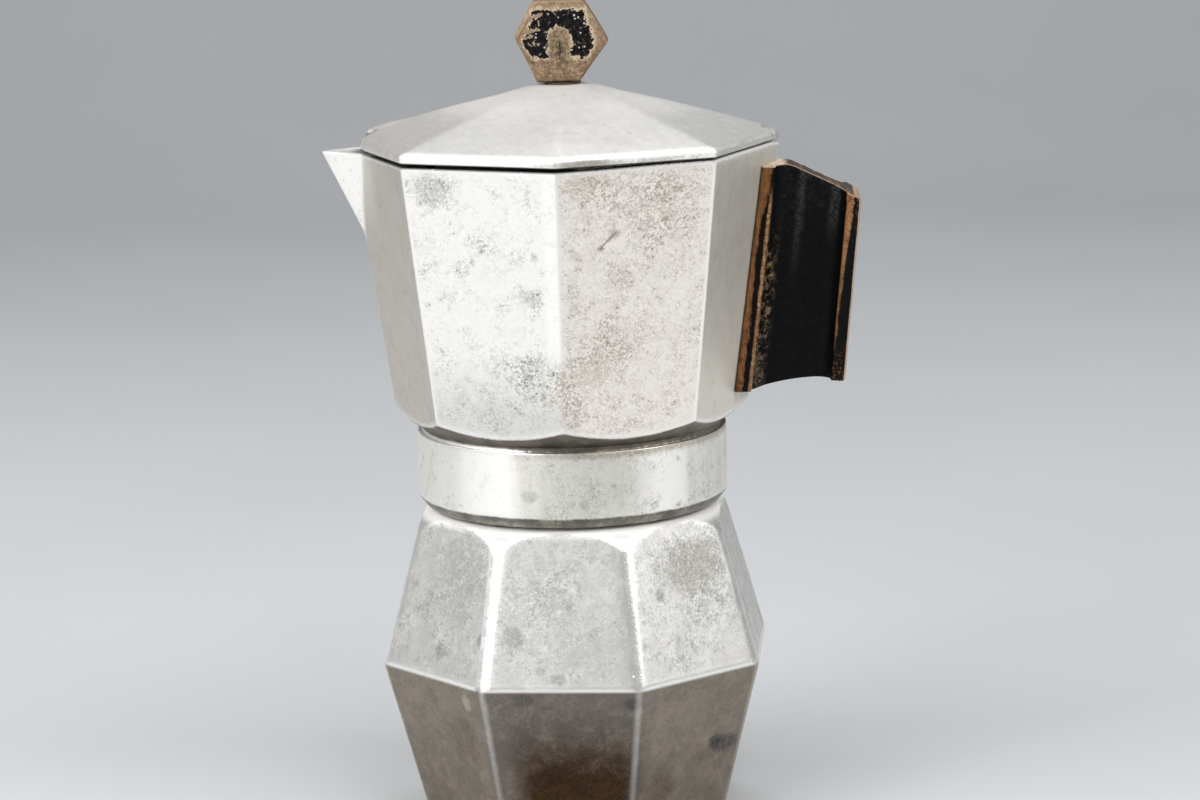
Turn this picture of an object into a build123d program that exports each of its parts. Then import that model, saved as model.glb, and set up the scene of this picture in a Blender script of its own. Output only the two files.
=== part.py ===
"""Octagonal moka pot: boiler, funnel, filter, collector with handle, and hinged lid.

Millimetres, +Z up. The origin is the centre of the boiler's base. The spout points to -X and the
handle to +X. The boiler is screwed up at a slight turn to the collector, as such a pot usually is.
"""

import os
from math import atan, cos, degrees, pi, radians, sin, tan

from build123d import *

os.makedirs("parts", exist_ok=True)

# ---------------------------------------------------------------- driving dimensions
sides = 8
half_side_angle = 180 / sides

# clearances
seat_gap = 0.2  # flat faces of pieces that come apart
run_gap = 0.3  # round faces of pieces that come apart
fit_gap = 0.03  # pins, shanks and spigots held in their holes
pivot_gap = 0.05  # lid ears on the hinge pin
slide_gap = 0.08  # valve plunger in its guides

# boiler
boiler_turn = 19.5  # degrees from the collector's corners to the boiler's
foot_r = 41.3  # corner radius of the octagonal foot
belt_r = 52.6  # corner radius at the widest line
belt_z = 42.0
boiler_height = 81.0  # up to the flat shoulder around the neck
boiler_top_r = 41.3  # corner radius that the upper facets would reach at the shoulder
shoulder_round = 8.0
upper_ridge_trim = 0.55  # how much the turned cone takes off the upper corners
lower_ridge_trim = 0.25
foot_chamfer = 0.8
boiler_wall = 3.2
boiler_floor = 3.6
inner_round = 4.0

# threaded neck and collar
neck_r = 33.7
neck_height = 14.0
neck_bore_r = 30.6
neck_lip_chamfer = 0.6
thread_pitch = 3.0
thread_depth = 1.1
thread_turns = 3
thread_base = 1.7  # width of a thread ridge at its root
thread_tip = 0.7
thread_start = 1.6  # above the shoulder, on the neck
thread_embed = 0.3  # how far a ridge's root sinks into its wall

# safety valve, square to one rear facet of the boiler
valve_facet = 1  # which facet, counted anticlockwise from the first one past +X
valve_z = 62.0
valve_shank_r = 3.5
valve_shank_proud = 2.0  # shank past the nut, inside the boiler
valve_hex_flats = 12.0
valve_hex_height = 4.6
valve_snout_r = 4.4
valve_snout_length = 3.0
valve_snout_chamfer = 0.8
valve_spot_margin = 0.8  # flat inside the boiler, around the nut
valve_cavity_r = 2.6
valve_front_wall = 1.6
valve_washer_thickness = 1.0
valve_washer_r = 6.6
valve_nut_thickness = 2.6
valve_seat_length = 1.8
valve_inlet_r = 1.2
plunger_pin_r = 1.1
plunger_head_r = 2.2
plunger_head_length = 1.6
plunger_proud = 1.6
plunger_tip_round = 0.5
spring_wire_r = 0.28
spring_coils = 5

# funnel
sheet = 0.9
bowl_depth = 25.0
bowl_gap = 0.4
funnel_rim_r = 33.4
sieve_ledge = 2.3
cone_height = 16.0
stem_bore_r = 4.2
stem_floor_gap = 3.6
sieve_thickness = 0.8
perforation_r = 0.7
perforation_pitch = 4.5
sieve_rings = 5
plate_rings = 5

# gasket and filter plate
gasket_inner_r = 27.2
gasket_thickness = 3.0
gasket_edge_round = 0.4
plate_thickness = 0.7
plate_rise = 0.5  # filter plate's face above the gasket's lower face
plate_flange = 2.6

# collector
collar_r = 40.0
collar_height = 17.2
collar_chamfer = 2.3
collar_chamfer_in = 1.7
collar_edge_round = 0.7
collar_gap = 0.6  # between the collar and the boiler's shoulder
collar_bore_r = 36.1
waist_r = 38.7
waist_height = 1.0
rim_r = 55.1  # corner radius at the collector's rim
rim_height = 72.2  # rim above the collar's upper edge
facet_foot_r = 46.0  # corner radius where the facets run out
facet_foot_height = 6.1
underside_rise = 1.6  # steepness of the turned underside above the facets' feet
collector_wall = 2.8
corner_round = 1.3
chamber_floor = 4.4  # chamber floor above the gasket's seat
under_dish_r = 25.0  # dish under the chamber floor that leads the coffee to the column
under_dish_height = 2.4

# spout
spout_overhang = 8.7  # tip of the spout outside the rim's corner
spout_drop = 24.0
spout_foot_proud = 0.1  # spout's foot outside the collector's corner
spout_half_angle = 37.7
spout_wall = 2.2
spout_root = 8.0  # how far the spout's section reaches back into the wall at the rim
spout_foot_root = 2.0

# riser column
column_foot_r = 7.6
column_top_r = 5.0
column_bore_r = 3.2
column_spigot_r = 5.0
column_height = 52.0
cap_wall = 1.1
cap_overlap = 5.0
cap_height = 11.0
cap_round = 2.0
cap_port_width = 3.6
cap_port_height = 3.2

# lid
lid_gap = 0.9
lid_rim_height = 2.1
lid_top_r = 8.8
lid_height = 15.2
lid_wall = 2.0
lid_rim_wall = 2.6
lid_edge_round = 0.8
lid_boss_r = 6.0
lid_boss_height = 1.6

# lid hinge, set into the corner above the handle
hinge_inset = 2.5  # pin axis inside the rim's corner
hinge_rise = 1.3  # pin axis above the lid's lower face
hinge_pin_r = 0.8
hinge_pin_length = 9.6
hinge_lug_r = 2.0
hinge_lug_width = 5.0
hinge_block_length = 7.0
hinge_root_depth = 4.0  # how far the lug runs down the collector's inside

# knob
knob_r = 12.1
knob_thickness = 9.0
knob_chamfer = 1.0
knob_washer_r = 4.6
knob_washer_thickness = 0.5
knob_insert_r = 3.0
knob_insert_length = 9.0
knob_screw_r = 1.5
knob_screw_head_r = 3.0
knob_screw_head_height = 1.8
knob_screw_grip = 7.0  # screw length inside the knob

# handle
handle_half_width = 10.4
handle_web_half = 4.5
handle_web_fillet = 4.2
handle_top_drop = 5.0  # handle's top below the collector's rim
handle_shoulder_overhang = 2.5  # outside the rim's corner, as the next two
handle_outer_top_overhang = 20.3
handle_outer_top_drop = 13.6
handle_outer_foot_overhang = 15.5
handle_outer_foot_height = 12.9  # above the collar's upper edge
handle_inner_foot_height = 9.1
handle_arch_height = 12.6
handle_inner_flange_top_inset = 1.3  # inside the rim's corner
handle_inner_flange_foot_overhang = 0.6  # outside the facets' feet
handle_outer_flange = 4.2
handle_seat_gap = 0.05
handle_corner_round = 1.6
handle_arch_start = 1.2  # arch of the underside starts this far out from the inner flange
handle_screw_height = 43.0  # screw axis above the collar's upper edge
handle_screw_r = 2.0
handle_screw_head_r = 3.8
handle_screw_head_height = 2.4
handle_screw_recess = 3.4
handle_washer_r = 4.2
handle_washer_thickness = 0.8
handle_boss_r = 3.2
handle_boss_overhang = 2.4
handle_tongue_height = 15.5  # lower tongue's middle above the collar's upper edge
handle_tongue_half_width = 2.4
handle_tongue_half_height = 2.2
handle_tongue_length = 5.0
handle_root_depth = 8.0  # how far the blank starts inside the facets' feet
handle_blank_margin = 10.0
slot_width = 0.9
slot_depth = 0.9
slot_overrun = 1.0
screw_head_round = 0.8

# ---------------------------------------------------------------- worked-out levels and radii
apothem_ratio = cos(radians(half_side_angle))
hex_ratio = cos(pi / 6)
valve_hex_r = valve_hex_flats / 2 / hex_ratio

shoulder_z = boiler_height
neck_top_z = shoulder_z + neck_height
funnel_rim_z = neck_top_z + seat_gap
gasket_z = funnel_rim_z + sheet + seat_gap
gasket_top_z = gasket_z + gasket_thickness
plate_flange_top_z = gasket_top_z + plate_thickness
gasket_seat_z = plate_flange_top_z + seat_gap
collar_bottom_z = shoulder_z + collar_gap
collar_top_z = collar_bottom_z + collar_chamfer + collar_height
rim_z = collar_top_z + rim_height
lid_z = rim_z + lid_gap
lid_edge_z = lid_z + lid_rim_height
lid_top_z = lid_z + lid_height
floor_z = gasket_seat_z + chamber_floor
gasket_r = collar_bore_r - run_gap
neck_thread_r = neck_r + thread_depth
collar_thread_r = neck_thread_r + run_gap

boiler_upper_slope = (belt_r - boiler_top_r) / (boiler_height - belt_z)
collector_slope = (rim_r - facet_foot_r) / (rim_height - facet_foot_height)


def collector_r(z, inset=0.0):
    """Corner radius of the collector's outside at height z, drawn in by inset across the flats."""
    return rim_r + (z - rim_z) * collector_slope - inset / apothem_ratio


spout_reach = rim_r + spout_overhang
spout_foot_reach = collector_r(rim_z - spout_drop) + spout_foot_proud
hinge_reach = rim_r - hinge_inset
handle_root_reach = facet_foot_r - handle_root_depth
handle_inner_flange_foot_reach = facet_foot_r + handle_inner_flange_foot_overhang
handle_inner_flange_top_reach = rim_r - handle_inner_flange_top_inset
handle_shoulder_reach = rim_r + handle_shoulder_overhang
handle_outer_top_reach = rim_r + handle_outer_top_overhang
handle_outer_foot_reach = rim_r + handle_outer_foot_overhang
handle_boss_reach = rim_r + handle_boss_overhang
handle_tongue_reach = facet_foot_r + handle_tongue_length

# ---------------------------------------------------------------- boiler
facet_angle = boiler_turn + half_side_angle + valve_facet * 2 * half_side_angle
facet_tilt = degrees(atan(boiler_upper_slope * apothem_ratio))
valve_apothem = (belt_r - (valve_z - belt_z) * boiler_upper_slope) * apothem_ratio
valve_normal = Vector(
    cos(radians(facet_angle)) * cos(radians(facet_tilt)),
    sin(radians(facet_angle)) * cos(radians(facet_tilt)),
    sin(radians(facet_tilt)),
)
valve_point = Vector(
    valve_apothem * cos(radians(facet_angle)), valve_apothem * sin(radians(facet_angle)), valve_z
)
valve_plane = Plane(
    origin=valve_point,
    x_dir=(-sin(radians(facet_angle)), cos(radians(facet_angle)), 0),
    z_dir=valve_normal,
)
wall_r = {
    "foot": foot_r * apothem_ratio - boiler_wall,
    "belt": belt_r * apothem_ratio - boiler_wall,
    "top": boiler_top_r * apothem_ratio - boiler_wall,
}

with BuildPart() as boiler:
    with BuildSketch(Plane.XY):
        RegularPolygon(foot_r, sides, rotation=boiler_turn)
    with BuildSketch(Plane.XY.offset(belt_z)):
        RegularPolygon(belt_r, sides, rotation=boiler_turn)
    loft()
    with BuildSketch(Plane.XY.offset(belt_z)):
        RegularPolygon(belt_r, sides, rotation=boiler_turn)
    with BuildSketch(Plane.XY.offset(shoulder_z)):
        RegularPolygon(boiler_top_r, sides, rotation=boiler_turn)
    loft()
    # a turned outline rounds the shoulder and leaves a narrow strip of cone along each corner
    with BuildSketch(Plane.XZ):
        with BuildLine() as turned_outline:
            Polyline(
                (0, 0),
                (foot_r - lower_ridge_trim - foot_chamfer, 0),
                (foot_r - lower_ridge_trim, foot_chamfer),
                (belt_r - upper_ridge_trim, belt_z),
                (boiler_top_r - upper_ridge_trim, shoulder_z),
                (0, shoulder_z),
                close=True,
            )
        make_face()
        fillet(
            [v for v in turned_outline.vertices() if v.X > neck_r and v.Z > belt_z + 1],
            radius=shoulder_round,
        )
    revolve(axis=Axis.Z, mode=Mode.INTERSECT)
    with BuildSketch(Plane.XY.offset(shoulder_z)):
        Circle(neck_r)
    extrude(amount=neck_height)
    chamfer(boiler.faces().sort_by(Axis.Z)[-1].edges(), length=neck_lip_chamfer)
    # external thread: one rounded ridge that winds up the neck
    with BuildLine() as neck_helix:
        Helix(
            pitch=thread_pitch,
            height=thread_pitch * thread_turns,
            radius=neck_r,
            center=(0, 0, shoulder_z + thread_start + thread_base / 2),
        )
    with BuildSketch(Plane(origin=neck_helix.line @ 0, x_dir=(1, 0, 0), z_dir=neck_helix.line % 0)):
        Polygon(
            (-thread_embed, -thread_base / 2),
            (thread_depth, -thread_tip / 2),
            (thread_depth, thread_tip / 2),
            (-thread_embed, thread_base / 2),
            align=None,
        )
    sweep(is_frenet=True)
    # water space
    with BuildSketch(Plane.XZ):
        with BuildLine() as water_space:
            Polyline(
                (0, boiler_floor),
                (wall_r["foot"], boiler_floor),
                (wall_r["belt"], belt_z),
                (wall_r["top"], shoulder_z - boiler_wall),
                (neck_bore_r, shoulder_z - boiler_wall),
                (neck_bore_r, neck_top_z + 1),
                (0, neck_top_z + 1),
                close=True,
            )
        make_face()
        fillet(
            [v for v in water_space.vertices() if v.X > neck_bore_r + 0.5],
            radius=inner_round,
        )
    revolve(axis=Axis.Z, mode=Mode.SUBTRACT)
    # valve hole, and the flat that its nut draws up against
    with BuildSketch(valve_plane.offset(-boiler_wall)):
        Circle(valve_hex_r + valve_spot_margin)
    extrude(amount=-valve_nut_thickness - valve_shank_proud, mode=Mode.SUBTRACT)
    with BuildSketch(valve_plane):
        Circle(valve_shank_r + fit_gap)
    extrude(amount=-2 * boiler_wall, mode=Mode.SUBTRACT)
boiler.part.label = "boiler"


# ---------------------------------------------------------------- safety valve
valve_back = -boiler_wall - valve_nut_thickness - valve_shank_proud
valve_hex_top = valve_washer_thickness + valve_hex_height
valve_snout_top = valve_hex_top + valve_snout_length
cavity_front = valve_snout_top - valve_front_wall
seat_front = valve_back + valve_seat_length

with BuildPart() as valve_washer:
    with BuildSketch(valve_plane):
        Circle(valve_washer_r)
        Circle(valve_shank_r + fit_gap, mode=Mode.SUBTRACT)
    extrude(amount=valve_washer_thickness)
valve_washer.part.label = "valve_washer"

with BuildPart() as valve_body:
    with BuildSketch(valve_plane.offset(valve_back)):
        Circle(valve_shank_r)
    extrude(amount=valve_washer_thickness - valve_back)
    with BuildSketch(valve_plane.offset(valve_washer_thickness)):
        RegularPolygon(valve_hex_r, 6)
    extrude(amount=valve_hex_height)
    with BuildSketch(valve_plane.offset(valve_hex_top)):
        Circle(valve_snout_r)
    extrude(amount=valve_snout_length)
    snout_face = valve_body.faces().sort_by(Axis(valve_point, valve_normal))[-1]
    chamfer(snout_face.edges(), length=valve_snout_chamfer)
    with BuildSketch(valve_plane.offset(valve_back)):
        Circle(valve_cavity_r)
    extrude(amount=cavity_front - valve_back, mode=Mode.SUBTRACT)
    with BuildSketch(valve_plane.offset(cavity_front)):
        Circle(plunger_pin_r + slide_gap)
    extrude(amount=valve_front_wall, mode=Mode.SUBTRACT)
valve_body.part.label = "valve_body"

with BuildPart() as valve_nut:
    with BuildSketch(valve_plane.offset(-boiler_wall)):
        RegularPolygon(valve_hex_r, 6)
        Circle(valve_shank_r + fit_gap, mode=Mode.SUBTRACT)
    extrude(amount=-valve_nut_thickness)
valve_nut.part.label = "valve_nut"

with BuildPart() as valve_seat:
    with BuildSketch(valve_plane.offset(valve_back)):
        Circle(valve_cavity_r - fit_gap)
        Circle(valve_inlet_r, mode=Mode.SUBTRACT)
    extrude(amount=valve_seat_length)
valve_seat.part.label = "valve_seat"

with BuildPart() as valve_plunger:
    with BuildSketch(valve_plane.offset(seat_front + slide_gap)):
        Circle(plunger_head_r)
    extrude(amount=plunger_head_length)
    with BuildSketch(valve_plane.offset(seat_front + slide_gap)):
        Circle(plunger_pin_r)
    extrude(amount=valve_snout_top + plunger_proud - seat_front - slide_gap)
    tip_face = valve_plunger.faces().sort_by(Axis(valve_point, valve_normal))[-1]
    fillet(tip_face.edges(), radius=plunger_tip_round)
valve_plunger.part.label = "valve_plunger"

spring_r = (plunger_pin_r + valve_cavity_r) / 2
spring_back = seat_front + slide_gap + plunger_head_length + spring_wire_r + slide_gap
spring_front = cavity_front - spring_wire_r - slide_gap
spring_pitch = (spring_front - spring_back) / spring_coils
with BuildPart() as valve_spring:
    with BuildLine() as spring_helix:
        Helix(
            pitch=spring_pitch,
            height=spring_front - spring_back,
            radius=spring_r,
            center=valve_point + valve_normal * spring_back,
            direction=valve_normal,
        )
    with BuildSketch(Plane(origin=spring_helix.line @ 0, z_dir=spring_helix.line % 0)):
        Circle(spring_wire_r)
    sweep(is_frenet=True)
valve_spring.part.label = "valve_spring"

# ---------------------------------------------------------------- funnel
bowl_r = neck_bore_r - bowl_gap
bowl_floor_z = funnel_rim_z - bowl_depth
ledge_r = bowl_r - sheet - sieve_ledge
stem_top_z = bowl_floor_z - cone_height
stem_foot_z = boiler_floor + stem_floor_gap
stem_r = stem_bore_r + sheet

with BuildPart() as funnel:
    with BuildSketch(Plane.XZ):
        with BuildLine():
            Polyline(
                (stem_bore_r, stem_foot_z),
                (stem_r, stem_foot_z),
                (stem_r, stem_top_z),
                (ledge_r + sheet, bowl_floor_z - sheet),
                (bowl_r, bowl_floor_z - sheet),
                (bowl_r, funnel_rim_z),
                (funnel_rim_r, funnel_rim_z),
                (funnel_rim_r, funnel_rim_z + sheet),
                (bowl_r - sheet, funnel_rim_z + sheet),
                (bowl_r - sheet, bowl_floor_z),
                (ledge_r, bowl_floor_z),
                (stem_bore_r, stem_top_z),
                close=True,
            )
        make_face()
    revolve(axis=Axis.Z)
funnel.part.label = "funnel"

with BuildPart() as funnel_sieve:
    with BuildSketch(Plane.XY.offset(bowl_floor_z)):
        Circle(bowl_r - sheet - fit_gap)
        for ring in range(sieve_rings):
            with PolarLocations(perforation_pitch * (ring + 1), 6 * (ring + 1)):
                Circle(perforation_r, mode=Mode.SUBTRACT)
    extrude(amount=sieve_thickness)
funnel_sieve.part.label = "funnel_sieve"

# ---------------------------------------------------------------- gasket and filter plate
with BuildPart() as gasket:
    with BuildSketch(Plane.XY.offset(gasket_z)):
        Circle(gasket_r)
        Circle(gasket_inner_r, mode=Mode.SUBTRACT)
    extrude(amount=gasket_thickness)
    fillet(gasket.edges().filter_by(GeomType.CIRCLE), radius=gasket_edge_round)
gasket.part.label = "gasket"

plate_r = gasket_inner_r - fit_gap
plate_z = gasket_z + plate_rise
with BuildPart() as filter_plate:
    with BuildSketch(Plane.XZ):
        with BuildLine():
            Polyline(
                (0, plate_z),
                (plate_r, plate_z),
                (plate_r, gasket_top_z),
                (plate_r + plate_flange, gasket_top_z),
                (plate_r + plate_flange, plate_flange_top_z),
                (plate_r - plate_thickness, plate_flange_top_z),
                (plate_r - plate_thickness, plate_z + plate_thickness),
                (0, plate_z + plate_thickness),
                close=True,
            )
        make_face()
    revolve(axis=Axis.Z)
    with BuildSketch(Plane.XY.offset(plate_z)):
        Circle(perforation_r)
        for ring in range(plate_rings):
            with PolarLocations(perforation_pitch * (ring + 1), 6 * (ring + 1)):
                Circle(perforation_r)
    extrude(amount=plate_thickness, mode=Mode.SUBTRACT)
filter_plate.part.label = "filter_plate"

# ---------------------------------------------------------------- collector
facet_foot_z = collar_top_z + facet_foot_height
hinge_z = lid_z + hinge_rise
boss_z = collar_top_z + handle_screw_height
tongue_z = collar_top_z + handle_tongue_height
chamber_r = collector_r(floor_z, collector_wall)
chamber_rim_r = collector_r(rim_z, collector_wall)
spout_foot_z = rim_z - spout_drop
spout_half_tan = tan(radians(spout_half_angle))


def spout_triangle(reach, root):
    """Corners of the spout's level section, from its edge at -reach back to a root inside the wall."""
    half = (reach - root) * spout_half_tan
    return [(-reach, 0), (-root, -half), (-root, half)]


with BuildPart() as collector:
    # octagonal chamber with softly rounded corners
    with BuildSketch(Plane.XY.offset(gasket_seat_z)):
        RegularPolygon(collector_r(gasket_seat_z), sides)
    with BuildSketch(Plane.XY.offset(rim_z)):
        RegularPolygon(rim_r, sides)
    loft()
    corner_edges = collector.edges().filter_by(lambda e: e.length > rim_height)
    fillet(corner_edges, radius=corner_round)
    # turned underside, which leaves the facets with bowed lower edges
    with BuildSketch(Plane.XZ):
        with BuildLine():
            Polyline(
                (0, gasket_seat_z),
                (waist_r, gasket_seat_z),
                (waist_r, collar_top_z + waist_height),
                (facet_foot_r, facet_foot_z),
                (rim_r + 1, facet_foot_z + underside_rise * (rim_r + 1 - facet_foot_r)),
                (rim_r + 1, rim_z),
                (0, rim_z),
                close=True,
            )
        make_face()
    revolve(axis=Axis.Z, mode=Mode.INTERSECT)
    # spout: a V that grows out of the corner
    with BuildSketch(Plane.XY.offset(spout_foot_z)):
        Polygon(*spout_triangle(spout_foot_reach, spout_foot_reach - spout_foot_root), align=None)
    with BuildSketch(Plane.XY.offset(rim_z)):
        Polygon(*spout_triangle(spout_reach, rim_r - spout_root), align=None)
    loft()
    # collar
    with BuildSketch(Plane.XZ):
        with BuildLine() as collar_outline:
            Polyline(
                (0, collar_bottom_z),
                (collar_r - collar_chamfer_in, collar_bottom_z),
                (collar_r, collar_bottom_z + collar_chamfer),
                (collar_r, collar_top_z),
                (0, collar_top_z),
                close=True,
            )
        make_face()
        fillet(
            [v for v in collar_outline.vertices() if v.X > waist_r and v.Z > collar_top_z - 1],
            radius=collar_edge_round,
        )
    revolve(axis=Axis.Z)
    # coffee chamber
    with BuildSketch(Plane.XY.offset(floor_z)):
        RegularPolygon(chamber_r, sides)
    with BuildSketch(Plane.XY.offset(rim_z + 1)):
        RegularPolygon(chamber_rim_r + collector_slope, sides)
    loft(mode=Mode.SUBTRACT)
    # spout channel
    wall_along = spout_wall / sin(radians(spout_half_angle))
    with BuildSketch(Plane.XY.offset(spout_foot_z + wall_along / 2)):
        Polygon(
            *spout_triangle(
                spout_foot_reach - wall_along / 2,
                spout_foot_reach - wall_along / 2 - spout_foot_root,
            ),
            align=None,
        )
    with BuildSketch(Plane.XY.offset(rim_z + 1)):
        Polygon(
            *spout_triangle(spout_reach - wall_along, chamber_rim_r - spout_root / 2),
            align=None,
        )
    loft(mode=Mode.SUBTRACT)
    # bore, gasket recess and the dish under the chamber floor
    with BuildSketch(Plane.XY.offset(collar_bottom_z)):
        Circle(collar_bore_r)
    extrude(amount=gasket_seat_z - collar_bottom_z, mode=Mode.SUBTRACT)
    with BuildSketch(Plane.XZ):
        with BuildLine():
            Polyline(
                (0, gasket_seat_z),
                (under_dish_r, gasket_seat_z),
                (column_spigot_r, gasket_seat_z + under_dish_height),
                (0, gasket_seat_z + under_dish_height),
                close=True,
            )
        make_face()
    revolve(axis=Axis.Z, mode=Mode.SUBTRACT)
    with BuildSketch(Plane.XY.offset(gasket_seat_z)):
        Circle(column_spigot_r + fit_gap)
    extrude(amount=chamber_floor, mode=Mode.SUBTRACT)
    # internal thread, clear of the neck's thread all round
    with BuildLine() as collar_helix:
        Helix(
            pitch=thread_pitch,
            height=thread_pitch * (thread_turns - 1),
            radius=collar_bore_r,
            center=(0, 0, shoulder_z + thread_start + thread_pitch / 2 + thread_base / 2),
        )
    collar_thread_depth = collar_bore_r - collar_thread_r
    with BuildSketch(
        Plane(origin=collar_helix.line @ 0, x_dir=(1, 0, 0), z_dir=collar_helix.line % 0)
    ):
        Polygon(
            (thread_embed, -thread_base / 2),
            (-collar_thread_depth, -thread_tip / 2),
            (-collar_thread_depth, thread_tip / 2),
            (thread_embed, thread_base / 2),
            align=None,
        )
    sweep(is_frenet=True)
    # hinge lug on the corner above the handle
    with BuildSketch(Plane.XZ):
        with Locations((hinge_reach, hinge_z)):
            Circle(hinge_lug_r)
        with BuildLine():
            Polyline(
                (hinge_reach - hinge_lug_r, hinge_z),
                (hinge_reach + hinge_lug_r, hinge_z),
                (hinge_reach + hinge_lug_r, rim_z - hinge_root_depth / 2),
                (chamber_rim_r - 1, rim_z - hinge_root_depth),
                (hinge_reach - hinge_lug_r, rim_z),
                close=True,
            )
        make_face()
    extrude(amount=hinge_lug_width / 2, both=True)
    with BuildSketch(Plane.XZ):
        with Locations((hinge_reach, hinge_z)):
            Circle(hinge_pin_r + fit_gap)
    extrude(amount=hinge_lug_width, both=True, mode=Mode.SUBTRACT)
    # boss for the handle's screw and tongue for its foot
    with BuildSketch(Plane.YZ.offset(collector_r(boss_z, collector_wall / 2))):
        with Locations((0, boss_z)):
            Circle(handle_boss_r)
    extrude(amount=handle_boss_reach - collector_r(boss_z, collector_wall / 2))
    with BuildSketch(Plane.YZ.offset(collector_r(tongue_z, collector_wall / 2))):
        with Locations((0, tongue_z)):
            Rectangle(2 * handle_tongue_half_width, 2 * handle_tongue_half_height)
    extrude(amount=handle_tongue_reach - collector_r(tongue_z, collector_wall / 2))
    with BuildSketch(Plane.YZ.offset(collector_r(boss_z, collector_wall / 2))):
        with Locations((0, boss_z)):
            Circle(handle_screw_r + fit_gap)
    extrude(amount=handle_boss_reach, mode=Mode.SUBTRACT)
collector.part.label = "collector"

# ---------------------------------------------------------------- riser column
column_top_z = floor_z + column_height
with BuildPart() as riser_column:
    with BuildSketch(Plane.XZ):
        with BuildLine() as column_outline:
            Polyline(
                (column_bore_r, gasket_seat_z + under_dish_height),
                (column_spigot_r, gasket_seat_z + under_dish_height),
                (column_spigot_r, floor_z),
                (column_foot_r, floor_z),
                (column_top_r, column_top_z),
                (column_bore_r, column_top_z),
                close=True,
            )
        make_face()
    revolve(axis=Axis.Z)
riser_column.part.label = "riser_column"

cap_seat_z = column_top_z - cap_overlap
cap_r = column_foot_r + (column_top_r - column_foot_r) * (cap_seat_z - floor_z) / column_height
with BuildPart() as column_cap:
    with BuildSketch(Plane.XY.offset(cap_seat_z)):
        Circle(cap_r + fit_gap + cap_wall)
    extrude(amount=cap_height)
    fillet(column_cap.faces().sort_by(Axis.Z)[-1].edges(), radius=cap_round)
    with BuildSketch(Plane.XY.offset(cap_seat_z)):
        Circle(cap_r + fit_gap)
    extrude(amount=cap_height - cap_wall, mode=Mode.SUBTRACT)
    # two ports that let the coffee out sideways
    with BuildSketch(Plane.XZ):
        with Locations((0, column_top_z + cap_port_height / 2)):
            Rectangle(cap_port_width, cap_port_height)
    extrude(amount=2 * column_foot_r, both=True, mode=Mode.SUBTRACT)
column_cap.part.label = "column_cap"

# ---------------------------------------------------------------- lid
with BuildPart() as lid:
    with BuildSketch(Plane.XY.offset(lid_z)):
        RegularPolygon(rim_r, sides)
    extrude(amount=lid_rim_height)
    with BuildSketch(Plane.XY.offset(lid_edge_z)):
        RegularPolygon(rim_r, sides)
    with BuildSketch(Plane.XY.offset(lid_top_z)):
        RegularPolygon(lid_top_r, sides)
    loft()
    rim_edges = lid.edges().filter_by(
        lambda e: abs(e.center().Z - lid_edge_z) < 0.01 or e.length > 2 * lid_top_r and
        e.center().Z > lid_edge_z
    )
    fillet(rim_edges, radius=lid_edge_round)
    # hollow underside, open to the rim
    with BuildSketch(Plane.XY.offset(lid_z)):
        RegularPolygon(rim_r - lid_rim_wall / apothem_ratio, sides)
    extrude(amount=lid_rim_height - lid_wall / 2, mode=Mode.SUBTRACT)
    with BuildSketch(Plane.XY.offset(lid_edge_z - lid_wall / 2)):
        RegularPolygon(rim_r - lid_rim_wall / apothem_ratio, sides)
    with BuildSketch(Plane.XY.offset(lid_top_z - lid_wall)):
        RegularPolygon(lid_top_r - lid_wall, sides)
    loft(mode=Mode.SUBTRACT)
    # boss under the knob
    with BuildSketch(Plane.XY.offset(lid_top_z - lid_wall - lid_boss_height)):
        Circle(lid_boss_r)
    extrude(amount=lid_boss_height + lid_wall / 2)
    with BuildSketch(Plane.XY.offset(lid_top_z - lid_wall - lid_boss_height)):
        Circle(knob_screw_r + fit_gap)
    extrude(amount=2 * lid_wall + lid_boss_height, mode=Mode.SUBTRACT)
    # hinge block behind the corner, slotted for the collector's lug
    with BuildSketch(Plane.XY.offset(lid_z)):
        with Locations((rim_r - hinge_block_length, 0)):
            Rectangle(hinge_block_length, hinge_pin_length, align=(Align.MIN, Align.CENTER))
        RegularPolygon(rim_r, sides, mode=Mode.INTERSECT)
    extrude(amount=lid_rim_height)
    with BuildSketch(Plane.XZ):
        with Locations((hinge_reach, hinge_z)):
            Circle(hinge_lug_r + run_gap)
            Rectangle(4 * hinge_lug_r, 4 * hinge_lug_r, align=(Align.MIN, Align.CENTER))
            Rectangle(
                2 * (hinge_lug_r + run_gap), 4 * hinge_lug_r, align=(Align.CENTER, Align.MIN)
            )
            Rectangle(
                2 * (hinge_lug_r + run_gap), 4 * hinge_lug_r, align=(Align.CENTER, Align.MAX)
            )
    extrude(amount=hinge_lug_width / 2 + run_gap, both=True, mode=Mode.SUBTRACT)
    with BuildSketch(Plane.XZ):
        with Locations((hinge_reach, hinge_z)):
            Circle(hinge_pin_r + pivot_gap)
    extrude(amount=hinge_pin_length, both=True, mode=Mode.SUBTRACT)
lid.part.label = "lid"

with BuildPart() as hinge_pin:
    with BuildSketch(Plane.XZ):
        with Locations((hinge_reach, hinge_z)):
            Circle(hinge_pin_r)
    extrude(amount=hinge_pin_length / 2, both=True)
hinge_pin.part.label = "hinge_pin"

# ---------------------------------------------------------------- knob
knob_z = lid_top_z + knob_washer_thickness
knob_flat = knob_r * hex_ratio
with BuildPart() as knob:
    with BuildSketch(Plane.XZ):
        with Locations((0, knob_z + knob_flat)):
            RegularPolygon(knob_r, 6)
    extrude(amount=knob_thickness / 2, both=True)
    chamfer(knob.faces().filter_by(Axis.Y).edges(), length=knob_chamfer)
    with BuildSketch(Plane.XY.offset(knob_z)):
        Circle(knob_insert_r + fit_gap)
    extrude(amount=knob_insert_length, mode=Mode.SUBTRACT)
knob.part.label = "knob"

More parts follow.
